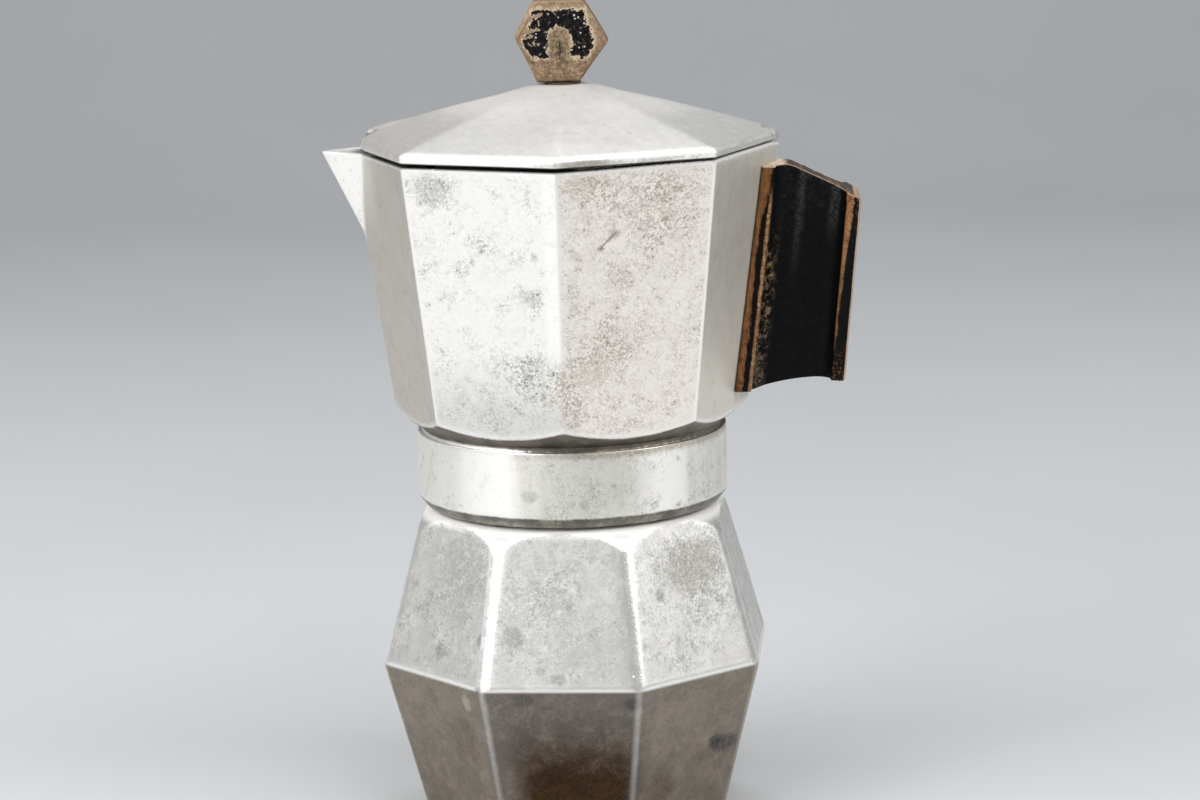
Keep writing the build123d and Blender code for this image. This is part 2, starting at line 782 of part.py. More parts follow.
with BuildPart() as knob_insert:
    with BuildSketch(Plane.XY.offset(knob_z)):
        Circle(knob_insert_r)
        Circle(knob_screw_r + fit_gap, mode=Mode.SUBTRACT)
    extrude(amount=knob_insert_length - fit_gap)
knob_insert.part.label = "knob_insert"

with BuildPart() as knob_washer:
    with BuildSketch(Plane.XY.offset(lid_top_z)):
        Circle(knob_washer_r)
        Circle(knob_screw_r + fit_gap, mode=Mode.SUBTRACT)
    extrude(amount=knob_washer_thickness)
knob_washer.part.label = "knob_washer"

knob_screw_seat_z = lid_top_z - lid_wall - lid_boss_height
with BuildPart() as knob_screw:
    with BuildSketch(Plane.XY.offset(knob_screw_seat_z)):
        Circle(knob_screw_head_r)
    extrude(amount=-knob_screw_head_height)
    fillet(knob_screw.faces().sort_by(Axis.Z)[0].edges(), radius=screw_head_round)
    with BuildSketch(Plane.XY.offset(knob_screw_seat_z - knob_screw_head_height)):
        Rectangle(2 * knob_screw_head_r + slot_overrun, slot_width)
    extrude(amount=slot_depth, mode=Mode.SUBTRACT)
    with BuildSketch(Plane.XY.offset(knob_screw_seat_z)):
        Circle(knob_screw_r)
    extrude(amount=knob_z + knob_screw_grip - knob_screw_seat_z)
knob_screw.part.label = "knob_screw"

# ---------------------------------------------------------------- handle
handle_top_z = rim_z - handle_top_drop
handle_outer_top_z = rim_z - handle_outer_top_drop
handle_outer_foot_z = collar_top_z + handle_outer_foot_height
handle_inner_foot_z = collar_top_z + handle_inner_foot_height
handle_arch_z = collar_top_z + handle_arch_height
arch_mid_reach = (handle_inner_flange_foot_reach + 2 * handle_outer_foot_reach) / 3


def line_reach(foot_reach, foot_z, top_reach, top_z, z):
    """Reach at height z on the straight line through a foot point and a top point."""
    return foot_reach + (top_reach - foot_reach) * (z - foot_z) / (top_z - foot_z)


blank_low = handle_inner_foot_z - handle_blank_margin
blank_high = handle_top_z + handle_blank_margin
inner_line = (
    handle_inner_flange_foot_reach, handle_inner_foot_z,
    handle_inner_flange_top_reach, handle_top_z,
)
outer_line = (
    handle_outer_foot_reach, handle_outer_foot_z, handle_outer_top_reach, handle_outer_top_z,
)

with BuildPart() as handle:
    with BuildSketch(Plane.XZ):
        Polygon(
            (handle_root_reach, blank_low),
            (handle_outer_top_reach + handle_blank_margin, blank_low),
            (handle_outer_top_reach + handle_blank_margin, blank_high),
            (handle_root_reach, blank_high),
            align=None,
        )
    extrude(amount=handle_half_width, both=True)
    # finger recesses that leave the web between the two flanges
    for side in (-1, 1):
        with BuildSketch(Plane.XZ.offset(side * handle_web_half)):
            Polygon(
                (line_reach(*inner_line, blank_low), blank_low),
                (line_reach(*outer_line, blank_low) - handle_outer_flange, blank_low),
                (line_reach(*outer_line, blank_high) - handle_outer_flange, blank_high),
                (line_reach(*inner_line, blank_high), blank_high),
                align=None,
            )
        extrude(amount=side * handle_half_width, mode=Mode.SUBTRACT)
    web_corners = handle.edges().filter_by(
        lambda e: abs(abs(e.center().Y) - handle_web_half) < 0.01 and e.length > rim_height
    )
    fillet(web_corners, radius=handle_web_fillet)
    # side outline: sloping top, upright outer flange and a bowed underside
    with BuildSketch(Plane.XZ):
        with BuildLine() as handle_outline:
            underside = ThreePointArc(
                (handle_outer_foot_reach - handle_outer_flange, handle_arch_z),
                (arch_mid_reach, handle_arch_z),
                (handle_inner_flange_foot_reach + handle_arch_start, handle_inner_foot_z),
            )
            Polyline(
                underside @ 1,
                (handle_root_reach, handle_inner_foot_z),
                (facet_foot_r, handle_top_z),
                (handle_shoulder_reach, handle_top_z),
                (handle_outer_top_reach, handle_outer_top_z),
                (handle_outer_foot_reach, handle_outer_foot_z),
                underside @ 0,
            )
        make_face()
        fillet(
            [v for v in handle_outline.vertices() if v.X > handle_outer_foot_reach - 0.1],
            radius=handle_corner_round,
        )
    extrude(amount=2 * handle_half_width, both=True, mode=Mode.INTERSECT)
    # saddle over the collector's corner
    with BuildSketch(Plane.XY.offset(gasket_seat_z)):
        RegularPolygon(collector_r(gasket_seat_z, -handle_seat_gap), sides)
    with BuildSketch(Plane.XY.offset(rim_z)):
        RegularPolygon(collector_r(rim_z, -handle_seat_gap), sides)
    loft(mode=Mode.SUBTRACT)
    # socket for the boss, screw hole and head recess
    with BuildSketch(Plane.YZ.offset(facet_foot_r)):
        with Locations((0, boss_z)):
            Circle(handle_boss_r + fit_gap)
    extrude(amount=handle_boss_reach + fit_gap - facet_foot_r, mode=Mode.SUBTRACT)
    with BuildSketch(Plane.YZ.offset(facet_foot_r)):
        with Locations((0, boss_z)):
            Circle(handle_screw_r + fit_gap)
    extrude(amount=handle_outer_top_reach - facet_foot_r, mode=Mode.SUBTRACT)
    screw_seat_reach = line_reach(*outer_line, boss_z) - handle_screw_recess
    with BuildSketch(Plane.YZ.offset(screw_seat_reach)):
        with Locations((0, boss_z)):
            Circle(handle_washer_r + run_gap)
    extrude(amount=2 * handle_screw_recess, mode=Mode.SUBTRACT)
    with BuildSketch(Plane.YZ.offset(handle_root_reach)):
        with Locations((0, tongue_z)):
            Rectangle(
                2 * (handle_tongue_half_width + fit_gap), 2 * (handle_tongue_half_height + fit_gap)
            )
    extrude(amount=handle_tongue_reach + fit_gap - handle_root_reach, mode=Mode.SUBTRACT)
handle.part.label = "handle"

with BuildPart() as handle_washer:
    with BuildSketch(Plane.YZ.offset(screw_seat_reach)):
        with Locations((0, boss_z)):
            Circle(handle_washer_r)
            Circle(handle_screw_r + fit_gap, mode=Mode.SUBTRACT)
    extrude(amount=handle_washer_thickness)
handle_washer.part.label = "handle_washer"

screw_head_reach = screw_seat_reach + handle_washer_thickness
screw_tip_reach = collector_r(boss_z, collector_wall / 2) + run_gap
with BuildPart() as handle_screw:
    with BuildSketch(Plane.YZ.offset(screw_head_reach)):
        with Locations((0, boss_z)):
            Circle(handle_screw_head_r)
    extrude(amount=handle_screw_head_height)
    fillet(handle_screw.faces().sort_by(Axis.X)[-1].edges(), radius=screw_head_round)
    with BuildSketch(Plane.YZ.offset(screw_head_reach + handle_screw_head_height)):
        with Locations((0, boss_z)):
            Rectangle(slot_width, 2 * handle_screw_head_r + slot_overrun)
    extrude(amount=-slot_depth, mode=Mode.SUBTRACT)
    with BuildSketch(Plane.YZ.offset(screw_head_reach)):
        with Locations((0, boss_z)):
            Circle(handle_screw_r)
    extrude(amount=screw_tip_reach - screw_head_reach)
handle_screw.part.label = "handle_screw"

# ---------------------------------------------------------------- files
pieces = (
    boiler, valve_body, valve_washer, valve_nut, valve_seat, valve_plunger, valve_spring,
    funnel, funnel_sieve, gasket, filter_plate,
    collector, riser_column, column_cap, hinge_pin, handle, handle_screw, handle_washer,
    lid, knob, knob_insert, knob_washer, knob_screw,
)
for piece in pieces:
    export_step(piece.part, f"parts/{piece.part.label}.step")
    print(piece.part.label, len(piece.part.solids()), round(piece.part.volume), piece.part.is_valid)
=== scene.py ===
"""Looks of the octagonal moka pot: worn cast aluminium, bakelite handle and knob, brass valve.

Every length is in metres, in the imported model's frame: +Z up, spout to -X, handle to +X, and the
photographed side faces -Y. Millimetre values are multiplied by MM.
"""

import math
from types import SimpleNamespace
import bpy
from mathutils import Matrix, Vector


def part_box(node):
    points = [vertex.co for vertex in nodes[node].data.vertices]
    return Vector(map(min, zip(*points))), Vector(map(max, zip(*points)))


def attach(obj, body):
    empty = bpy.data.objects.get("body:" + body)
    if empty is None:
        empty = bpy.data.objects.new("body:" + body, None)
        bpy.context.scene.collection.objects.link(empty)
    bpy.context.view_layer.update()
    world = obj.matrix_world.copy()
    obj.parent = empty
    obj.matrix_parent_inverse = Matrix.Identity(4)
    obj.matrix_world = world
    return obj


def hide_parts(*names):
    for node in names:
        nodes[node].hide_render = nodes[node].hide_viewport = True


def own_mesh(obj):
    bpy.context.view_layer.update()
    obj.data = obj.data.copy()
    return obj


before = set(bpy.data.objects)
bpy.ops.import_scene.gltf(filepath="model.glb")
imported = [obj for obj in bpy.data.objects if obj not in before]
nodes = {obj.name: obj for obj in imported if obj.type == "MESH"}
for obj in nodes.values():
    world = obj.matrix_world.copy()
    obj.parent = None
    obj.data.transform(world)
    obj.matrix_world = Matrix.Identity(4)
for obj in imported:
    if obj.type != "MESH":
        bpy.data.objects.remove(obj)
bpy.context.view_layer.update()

import bmesh
import bpy
from mathutils import Matrix, Vector, noise

MM = 0.001

# ------------------------------------------------------------------ sizes read from the frame
_, boiler_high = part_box("boiler")
collector_low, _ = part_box("collector")
lid_low, lid_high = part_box("lid")
knob_low, knob_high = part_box("knob")
_, handle_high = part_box("handle")
_, gasket_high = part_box("gasket")
pin_low, pin_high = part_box("hinge_pin")

RIM_R = lid_high.y  # corner radius of rim and lid
RIM_Z = lid_low.z - 0.9 * MM
COLLAR_FOOT_Z = collector_low.z
COLLAR_TOP_Z = RIM_Z - 72.2 * MM
NECK_TOP_Z = boiler_high.z

# ------------------------------------------------------------------ sizes of the turned and faceted forms
BOILER_TURN = math.radians(19.5)
FOOT_R = 41.3 * MM
BELT_R = 52.6 * MM
BELT_Z = 42.0 * MM
SHOULDER_Z = 81.0 * MM
SHOULDER_CORNER_R = 41.3 * MM
SHOULDER_ROUND = 8.0 * MM
UPPER_TRIM = 0.55 * MM
LOWER_TRIM = 0.25 * MM
NECK_R = 33.7 * MM
NECK_BORE_R = 30.6 * MM
THREAD_PITCH = 3.0 * MM
THREAD_DEPTH = 1.1 * MM
THREAD_BASE = 1.7 * MM
THREAD_TIP = 0.7 * MM
THREAD_TURNS = 3
THREAD_START = SHOULDER_Z + 1.6 * MM
BOILER_WALL = 3.2 * MM
BOILER_FLOOR = 3.6 * MM

COLLAR_R = 40.0 * MM
COLLAR_CHAMFER = (1.7 * MM, 2.3 * MM)
COLLAR_BORE_R = 36.1 * MM
COLLAR_THREAD_R = NECK_R + THREAD_DEPTH + 0.3 * MM
WAIST_R = 38.7 * MM
WAIST_HEIGHT = 1.0 * MM
FACET_FOOT_R = 46.0 * MM
FACET_FOOT_Z = COLLAR_TOP_Z + 6.1 * MM
COLLECTOR_SLOPE = (RIM_R - FACET_FOOT_R) / (RIM_Z - FACET_FOOT_Z)
COLLECTOR_WALL = 2.8 * MM
SEAT_Z = gasket_high.z + 0.9 * MM
CHAMBER_FLOOR_Z = SEAT_Z + 4.4 * MM
DISH_R = 25.0 * MM
DISH_HEIGHT = 2.4 * MM
COLUMN_HOLE_R = 5.03 * MM
CORNER_ROUND = 1.3 * MM

SPOUT_REACH = -collector_low.x
SPOUT_FOOT_REACH = 51.9 * MM
SPOUT_FOOT_Z = RIM_Z - 24.0 * MM
SPOUT_TAN = math.tan(math.radians(37.7))
SPOUT_WALL = 2.2 * MM / math.sin(math.radians(37.7))

EIGHTH = math.pi / 4
COS_HALF = math.cos(EIGHTH / 2)


# ------------------------------------------------------------------ shape helpers
def at(angle, radius, z):
    """Point at an angle round the z axis, a distance from it and a height."""
    return Vector((radius * math.cos(angle), radius * math.sin(angle), z))


def quarter(steps):
    """Angles from 0 to 90 degrees, both ends in."""
    return [math.pi / 2 * k / steps for k in range(steps + 1)]


def mix(a, b, t):
    """From a to b while t goes from 0 to 1."""
    return a + (b - a) * t


def clamp(value, low=0.0, high=1.0):
    return max(low, min(high, value))


def smoothstep(low, high, value):
    t = clamp((value - low) / (high - low))
    return t * t * (3 - 2 * t)


def soft_min(a, b, width):
    """The smaller of two values, with a rounded change-over of the given width."""
    h = clamp(0.5 + 0.5 * (b - a) / width)
    return mix(b, a, h) - width * h * (1 - h)


def soft_max(a, b, width):
    return -soft_min(-a, -b, width)


def polygon(angle, corner_r, wedge, rounding):
    """Distance from the middle to a regular polygon with rounded corners, the first at angle 0."""
    off = angle % wedge
    off = min(off, wedge - off)
    half = wedge / 2
    centre = corner_r - rounding / math.cos(half)
    tangent = math.atan2(rounding * math.sin(half), centre + rounding * math.cos(half))
    if off < tangent:
        return centre * math.cos(off) + math.sqrt(rounding**2 - (centre * math.sin(off)) ** 2)
    return corner_r * math.cos(half) / math.cos(half - off)


def octagon(angle, corner_r, turn=0.0, rounding=CORNER_ROUND):
    return polygon(angle - turn, corner_r, EIGHTH, rounding)


def corner_angles(turn=0.0, near=math.radians(3.0), fine=0.25, coarse=1.0):
    """Angles all round, close together beside each corner of an octagon and wider between."""
    angles = []
    for side in range(8):
        start = turn + side * EIGHTH
        steps = max(1, round(math.degrees(near) / fine))
        flat = EIGHTH - 2 * near
        flat_steps = max(1, round(math.degrees(flat) / coarse))
        angles += [start + near * k / steps for k in range(steps)]
        angles += [start + near + flat * k / flat_steps for k in range(flat_steps)]
        angles += [start + EIGHTH - near + near * k / steps for k in range(steps)]
    return angles


def spaced(low, high, step):
    """Values from low to high, both ends in, no further apart than step."""
    count = max(1, math.ceil(abs(high - low) / step - 1e-9))
    return [mix(low, high, k / count) for k in range(count + 1)]


def uneven(point, scale, depth, seed=0.0):
    """A smooth random height for a point, for the slight unevenness of cast and worn surfaces."""
    return depth * noise.noise(point / scale + Vector((seed, seed * 1.7, seed * 0.3)))


FLOOR_FILLET = 4 * MM


def fillet_inset(rise):
    """How far the fillet between wall and floor stands in from the wall, at a height over the floor."""
    if rise >= FLOOR_FILLET:
        return 0.0
    return FLOOR_FILLET - math.sqrt(max(FLOOR_FILLET**2 - (FLOOR_FILLET - rise) ** 2, 0))


def fillet_heights(floor_z):
    """Pairs for rings down a fillet: the ring's height, and one above the floor to read the wall at."""
    heights = [floor_z + FLOOR_FILLET * (1 - math.sin(math.radians(15 * k))) for k in range(1, 7)]
    return [(z, max(z, floor_z + 0.01 * MM)) for z in heights]


def mesh_object(name, points, faces):
    """Adds a smooth-shaded object whose faces all look outwards."""
    mesh = bpy.data.meshes.new(name)
    mesh.from_pydata(points, [], faces)
    bm = bmesh.new()
    bm.from_mesh(mesh)
    bmesh.ops.recalc_face_normals(bm, faces=bm.faces)
    bm.to_mesh(mesh)
    bm.free()
    mesh.shade_smooth()
    obj = bpy.data.objects.new(name, mesh)
    bpy.context.scene.collection.objects.link(obj)
    return obj


def tube_faces(count, rows, loop=False):
    """Faces of a skin over rows of count points each. loop joins the last row to the first."""
    faces = []
    for i in range(rows if loop else rows - 1):
        a, b = i * count, (i + 1) % rows * count
        for k in range(count):
            n = (k + 1) % count
            faces.append((a + k, a + n, b + n, b + k))
    return faces


def ring_mesh(name, rings, loop=False):
    """A closed skin over rings of equal count: a loop of rings, or a row of them with two caps."""
    count = len(rings[0])
    points = [p for ring in rings for p in ring]
    faces = tube_faces(count, len(rings), loop)
    for first in () if loop else (0, len(points) - count):
        middle = sum(points[first : first + count], Vector()) / count
        points.append(middle)
        for k in range(count):
            faces.append((first + k, first + (k + 1) % count, len(points) - 1))
    return mesh_object(name, points, faces)


def level(outline, z, inset=0.0):
    """Radius and height of a ring on an outline given as radius(angle, z)."""
    return (lambda a: outline(a, z) - inset), z


def polar_rings(angles, pairs):
    """Rings round the axis from pairs of radius and height; a radius may be a function of the angle."""
    return [[at(a, r(a) if callable(r) else r, z) for a in angles] for r, z in pairs]


def thread_height(angle, z, first_z, turns):
    """How far a helical ridge stands out at an angle and a height; it fades in and out at its ends."""
    along = (z - first_z) / THREAD_PITCH - (angle % (2 * math.pi)) / (2 * math.pi)
    nearest = round(along)
    off = abs(along - nearest) * THREAD_PITCH
    travelled = nearest + (angle % (2 * math.pi)) / (2 * math.pi)
    fade = smoothstep(0, 0.12, travelled) * smoothstep(0, 0.12, turns - travelled)
    ridge = clamp((THREAD_BASE / 2 - off) / ((THREAD_BASE - THREAD_TIP) / 2))
    return ridge * fade * (1 if 0 <= travelled <= turns else 0)


# ------------------------------------------------------------------ boiler
BELT_ROUND = 0.7 * MM
UPPER_SLOPE = (BELT_R - SHOULDER_CORNER_R) / (SHOULDER_Z - BELT_Z)
LOWER_SLOPE = (BELT_R - FOOT_R) / BELT_Z
FOOT_CHAMFER = 0.8 * MM


def boiler_corner_r(z):
    """Corner radius of the boiler's octagon at a height, rounded over the belt."""
    lower = FOOT_R + LOWER_SLOPE * z
    upper = BELT_R - UPPER_SLOPE * (z - BELT_Z)
    return soft_min(lower, upper, BELT_ROUND)


def boiler_turned_r(z):
    """Radius of the turned outline that rounds the shoulder and trims the ridges."""
    line = BELT_R - UPPER_TRIM - UPPER_SLOPE * (z - BELT_Z)
    tilt = math.hypot(1, UPPER_SLOPE)
    arc_z = SHOULDER_Z - SHOULDER_ROUND
    arc_r = BELT_R - UPPER_TRIM - UPPER_SLOPE * (arc_z - BELT_Z) - SHOULDER_ROUND * tilt
    if z > arc_z + SHOULDER_ROUND * UPPER_SLOPE / tilt:
        return arc_r + math.sqrt(max(SHOULDER_ROUND**2 - (z - arc_z) ** 2, 0))
    return min(line, FOOT_R - LOWER_TRIM + LOWER_SLOPE * z + 0.0003)


def boiler_outer_r(angle, z):
    corner = boiler_corner_r(z)
    faceted = octagon(angle, corner, BOILER_TURN, 1.6 * MM)
    radius = soft_min(faceted, boiler_turned_r(z), 0.5 * MM)
    spot = at(angle, radius, z)
    sink = uneven(spot, 21 * MM, 0.16 * MM, 3) + uneven(spot, 7 * MM, 0.05 * MM, 9)
    return radius - 0.12 * MM + sink * 0.6


def boiler_inner_r(z):
    """Radius of the turned water space, inside the walls."""
    foot = FOOT_R * COS_HALF - BOILER_WALL
    belt = BELT_R * COS_HALF - BOILER_WALL
    top = SHOULDER_CORNER_R * COS_HALF - BOILER_WALL
    if z < BELT_Z:
        wall = mix(foot, belt, (z - BOILER_FLOOR) / (BELT_Z - BOILER_FLOOR))
    else:
        wall = mix(belt, top, (z - BELT_Z) / (SHOULDER_Z - BOILER_WALL - BELT_Z))
    return wall - fillet_inset(z - BOILER_FLOOR)


def boiler_skin():
    """Radius and height of the outer rings, from the middle of the base up to the shoulder."""
    pairs = [(r * MM, 0.35 * MM) for r in (2, 10, 20, 30)]
    pairs += [(35 * MM, 0.1 * MM), level(boiler_outer_r, 0, FOOT_CHAMFER)]
    heights = [FOOT_CHAMFER] + spaced(2 * MM, BELT_Z - 2 * MM, 1.9 * MM)
    heights += spaced(BELT_Z - 1.6 * MM, BELT_Z + 1.6 * MM, 0.27 * MM)
    heights += spaced(BELT_Z + 2.2 * MM, SHOULDER_Z - SHOULDER_ROUND, 1.6 * MM)
    for k in range(1, 13):
        heights.append(SHOULDER_Z - SHOULDER_ROUND * (1 - math.sin(math.radians(7.5 * k))))
    return pairs + [level(boiler_outer_r, z) for z in heights]


def boiler_neck():
    """Rings up the outside of the threaded neck and down its bore."""
    first = THREAD_START + THREAD_BASE / 2
    top = first + THREAD_PITCH * THREAD_TURNS + THREAD_BASE / 2 + 0.2 * MM
    depth = THREAD_DEPTH - 0.1 * MM

    def thread_r(a, z):
        return NECK_R + depth * thread_height(a, z, first, THREAD_TURNS)

    pairs = [(NECK_R + 0.5 * MM, SHOULDER_Z), (NECK_R + 0.1 * MM, SHOULDER_Z + 0.15 * MM)]
    pairs += [level(thread_r, z) for z in spaced(SHOULDER_Z + 0.6 * MM, top, 0.3 * MM)]
    return pairs + [
        (NECK_R, NECK_TOP_Z - 0.6 * MM),
        (NECK_R - 0.6 * MM, NECK_TOP_Z),
        (NECK_BORE_R + 0.3 * MM, NECK_TOP_Z),
        (NECK_BORE_R, NECK_TOP_Z - 0.3 * MM),
        (NECK_BORE_R, SHOULDER_Z),
    ]


def water_space():
    """Rings of the water space, from its ceiling to the middle of its floor."""
    ceiling = SHOULDER_Z - BOILER_WALL
    heights = reversed(spaced(BOILER_FLOOR + FLOOR_FILLET, ceiling - 2.5 * MM, 3 * MM))
    pairs = [
        (NECK_BORE_R, ceiling + 0.5 * MM),
        (NECK_BORE_R + 0.5 * MM, ceiling),
        (boiler_inner_r(ceiling) - 2.5 * MM, ceiling),
        (boiler_inner_r(ceiling - 2 * MM) - 0.6 * MM, ceiling - 0.8 * MM),
    ]
    pairs += [(boiler_inner_r(z), z) for z in heights]
    pairs += [(boiler_inner_r(wall_z), z) for z, wall_z in fillet_heights(BOILER_FLOOR)]
    return pairs + [(r * MM, BOILER_FLOOR) for r in (30, 20, 10, 2)]


def build_boiler():
    angles = corner_angles(BOILER_TURN, math.radians(2.4), 0.3, 1.4)
    return ring_mesh("boiler_shell", polar_rings(angles, boiler_skin() + boiler_neck() + water_space()))


# ------------------------------------------------------------------ collector
BURR = 0.35 * MM
RIM_ROUND = 0.6 * MM
FACET_RINGS = 36
# lift over the facet's edge and inset, in millimetres, of the rings that round its foot
FACET_FOOT = ((-0.12, 0.12), (0.06, 0.03), (0.3, -0.04), (0.7, 0.0))


def collector_corner_r(z, inset=0.0):
    return RIM_R + (z - RIM_Z) * COLLECTOR_SLOPE - inset / COS_HALF


def underside_r(z):
    """Radius of the turned underside that ends the facets."""
    low = COLLAR_TOP_Z + WAIST_HEIGHT
    if z < FACET_FOOT_Z:
        return mix(WAIST_R, FACET_FOOT_R, (z - low) / (FACET_FOOT_Z - low))
    return FACET_FOOT_R + (z - FACET_FOOT_Z) / 1.6


def facet_edge_z(angle):
    """Height at which the turned underside meets the facets, in the direction of an angle."""
    low = COLLAR_TOP_Z + WAIST_HEIGHT
    z = FACET_FOOT_Z
    for _ in range(8):
        r = octagon(angle, collector_corner_r(z), 0, CORNER_ROUND)
        z = mix(low, FACET_FOOT_Z, (r - WAIST_R) / (FACET_FOOT_R - WAIST_R))
    return z


def spout_r(angle, z, reach_foot, reach_rim, foot_z, rim_z, round_off):
    """Distance from the axis to the spout's V in the direction of an angle, or 0 outside it."""
    off = abs(angle % (2 * math.pi) - math.pi)
    if off > math.radians(60) or z < foot_z - 6 * MM:
        return 0.0
    reach = reach_foot + (reach_rim - reach_foot) * (z - foot_z) / (rim_z - foot_z)
    side = math.sqrt(math.sin(off) ** 2 + round_off**2)
    return reach * SPOUT_TAN / (side + SPOUT_TAN * math.cos(off))


def collector_outer_r(angle, z):
    if z < COLLAR_TOP_Z:
        return COLLAR_R
    faceted = octagon(angle, collector_corner_r(z), 0, CORNER_ROUND)
    spout = spout_r(angle, z, SPOUT_FOOT_REACH, SPOUT_REACH, SPOUT_FOOT_Z, RIM_Z, 0.016)
    radius = soft_max(faceted, spout, 0.7 * MM) if spout > faceted - 2 * MM else faceted
    spot = at(angle, radius, z)
    sink = uneven(spot, 24 * MM, 0.14 * MM, 5) + uneven(spot, 8 * MM, 0.04 * MM, 1)
    return radius - 0.1 * MM + sink * 0.6


def collector_inner_r(angle, z):
    faceted = octagon(angle, collector_corner_r(z, COLLECTOR_WALL), 0, 3.0 * MM)
    spout = spout_r(
        angle, z, SPOUT_FOOT_REACH - SPOUT_WALL / 2, SPOUT_REACH - SPOUT_WALL,
        SPOUT_FOOT_Z + SPOUT_WALL / 2, RIM_Z + 1 * MM, 0.03,
    )
    radius = soft_max(faceted, spout, 1.5 * MM) if spout > faceted - 3 * MM else faceted
    return radius - fillet_inset(z - CHAMBER_FLOOR_Z)


def collector_angles():
    """Angles for the collector: close beside its corners, and closest across the spout."""
    angles = corner_angles(0, math.radians(2.4), 0.3, 1.4)
    reach = math.radians(14)
    angles = [a for a in angles if abs(a - math.pi) > reach]
    angles += [math.pi - reach + 2 * reach * k / 62 for k in range(63)]
    return sorted(angles)


def collar_skin():
    """Radius and height of the collar's outer rings, from its lower edge up to the waist above it."""
    foot, top = COLLAR_FOOT_Z, COLLAR_TOP_Z
    inset, height = COLLAR_CHAMFER
    pairs = [
        (COLLAR_BORE_R + 0.5 * MM, foot),
        (COLLAR_R - inset - 0.2 * MM, foot),
        (COLLAR_R - inset, foot + 0.15 * MM),
        (COLLAR_R - 0.12 * MM, foot + height - 0.15 * MM),
        (COLLAR_R, foot + height + 0.2 * MM),
    ]
    pairs += [(COLLAR_R, z) for z in spaced(foot + height + 2 * MM, top - 1.2 * MM, 2.2 * MM)]
    pairs.append((COLLAR_R - 0.02 * MM, top - 0.5 * MM))
    # a thin ragged burr stands up from the collar's upper edge
    for degrees in (20, 45, 70, 90):
        turn = math.radians(degrees)
        radius = COLLAR_R - BURR * (1 - math.cos(turn))
        pairs.append((
            lambda a, r=radius: r - 0.05 * MM * noise.noise(at(a, 9, 1)),
            top - BURR + BURR * math.sin(turn),
        ))
    return pairs + [
        (COLLAR_R - 0.8 * MM, top - 0.1 * MM),
        (WAIST_R + 0.15 * MM, top - 0.15 * MM),
        (WAIST_R, top + 0.1 * MM),
        (WAIST_R, top + WAIST_HEIGHT),
    ]


def facet_rings(angles):
    """Rings of the turned underside, the facets' rounded feet, the facets and the rim."""
    edges = [facet_edge_z(a) for a in angles]
    low = COLLAR_TOP_Z + WAIST_HEIGHT
    rings = []
    for t in (0.25, 0.5, 0.75, 0.9):
        heights = [mix(low, edge, t) for edge in edges]
        rings.append([at(a, underside_r(z), z) for a, z in zip(angles, heights)])
    stretches = [([edge + lift * MM for edge in edges], inset * MM) for lift, inset in FACET_FOOT]
    foot = FACET_FOOT[-1][0] * MM
    for k in range(1, FACET_RINGS + 1):
        t = k / FACET_RINGS
        stretches.append(([mix(edge + foot, RIM_Z - RIM_ROUND, t) for edge in edges], 0.0))
    for heights, inset in stretches:
        rings.append([at(a, collector_outer_r(a, z) - inset, z) for a, z in zip(angles, heights)])
    for degrees in (30, 60, 90):
        turn = math.radians(degrees)
        inset = RIM_ROUND * (1 - math.cos(turn))
        z = RIM_Z - RIM_ROUND * (1 - math.sin(turn))
        rings.append([at(a, collector_outer_r(a, RIM_Z) - inset, z) for a in angles])
    return rings


def chamber():
    """Rings inside the chamber and under its floor, from the rim to the gasket's seat."""
    rim_r, _ = level(collector_inner_r, RIM_Z, -0.1 * MM)
    pairs = [
        level(collector_inner_r, RIM_Z, -0.4 * MM),
        (rim_r, RIM_Z - 0.12 * MM),
        level(collector_inner_r, RIM_Z - 0.5 * MM),
    ]
    heights = reversed(spaced(CHAMBER_FLOOR_Z + FLOOR_FILLET, RIM_Z - 2 * MM, 2.4 * MM))
    pairs += [level(collector_inner_r, z) for z in heights]
    for z, wall_z in fillet_heights(CHAMBER_FLOOR_Z):
        radius, _ = level(collector_inner_r, wall_z)
        pairs.append((radius, z))
    pairs += [(r * MM, CHAMBER_FLOOR_Z) for r in (34, 22, 12, 8.2)]
    return pairs + [
        (COLUMN_HOLE_R, CHAMBER_FLOOR_Z),
        (COLUMN_HOLE_R, SEAT_Z + DISH_HEIGHT),
        (DISH_R, SEAT_Z),
        (COLLAR_BORE_R - 0.3 * MM, SEAT_Z),
        (COLLAR_BORE_R, SEAT_Z - 0.3 * MM),
    ]


def collar_bore():
    """Rings down the collar's threaded bore."""
    first = THREAD_START + THREAD_PITCH / 2 + THREAD_BASE / 2
    turns = THREAD_TURNS - 1
    top = first + THREAD_PITCH * turns + THREAD_BASE
    depth = COLLAR_BORE_R - COLLAR_THREAD_R

    def thread_r(a, z):
        return COLLAR_BORE_R - depth * thread_height(a, z, first, turns)

    heights = reversed(spaced(COLLAR_FOOT_Z + 0.6 * MM, top, 0.3 * MM))
    return [(COLLAR_BORE_R, top + 0.6 * MM)] + [level(thread_r, z) for z in heights]


def build_collector():
    angles = collector_angles()
    rings = polar_rings(angles, collar_skin()) + facet_rings(angles)
    rings += polar_rings(angles, chamber() + collar_bore())
    return ring_mesh("collector_shell", rings, loop=True)


# ------------------------------------------------------------------ lid
LID_TOP_R = 8.8 * MM
LID_EDGE_Z = lid_low.z + 2.1 * MM
LID_WALL = 2.0 * MM
LID_RIM_WALL = 2.6 * MM
LID_ROUND = 0.9 * MM
LID_CROWN = 0.5 * MM
NOSE_ROUND = 34 * MM  # the lid's corner over the spout is worn to a wide curve
NUB_R = 50.3 * MM
NUB_HEIGHT = 0.65 * MM
NUB_HALF = 3.0 * MM
LID_HOLE_R = 1.55 * MM
LID_RINGS = 34


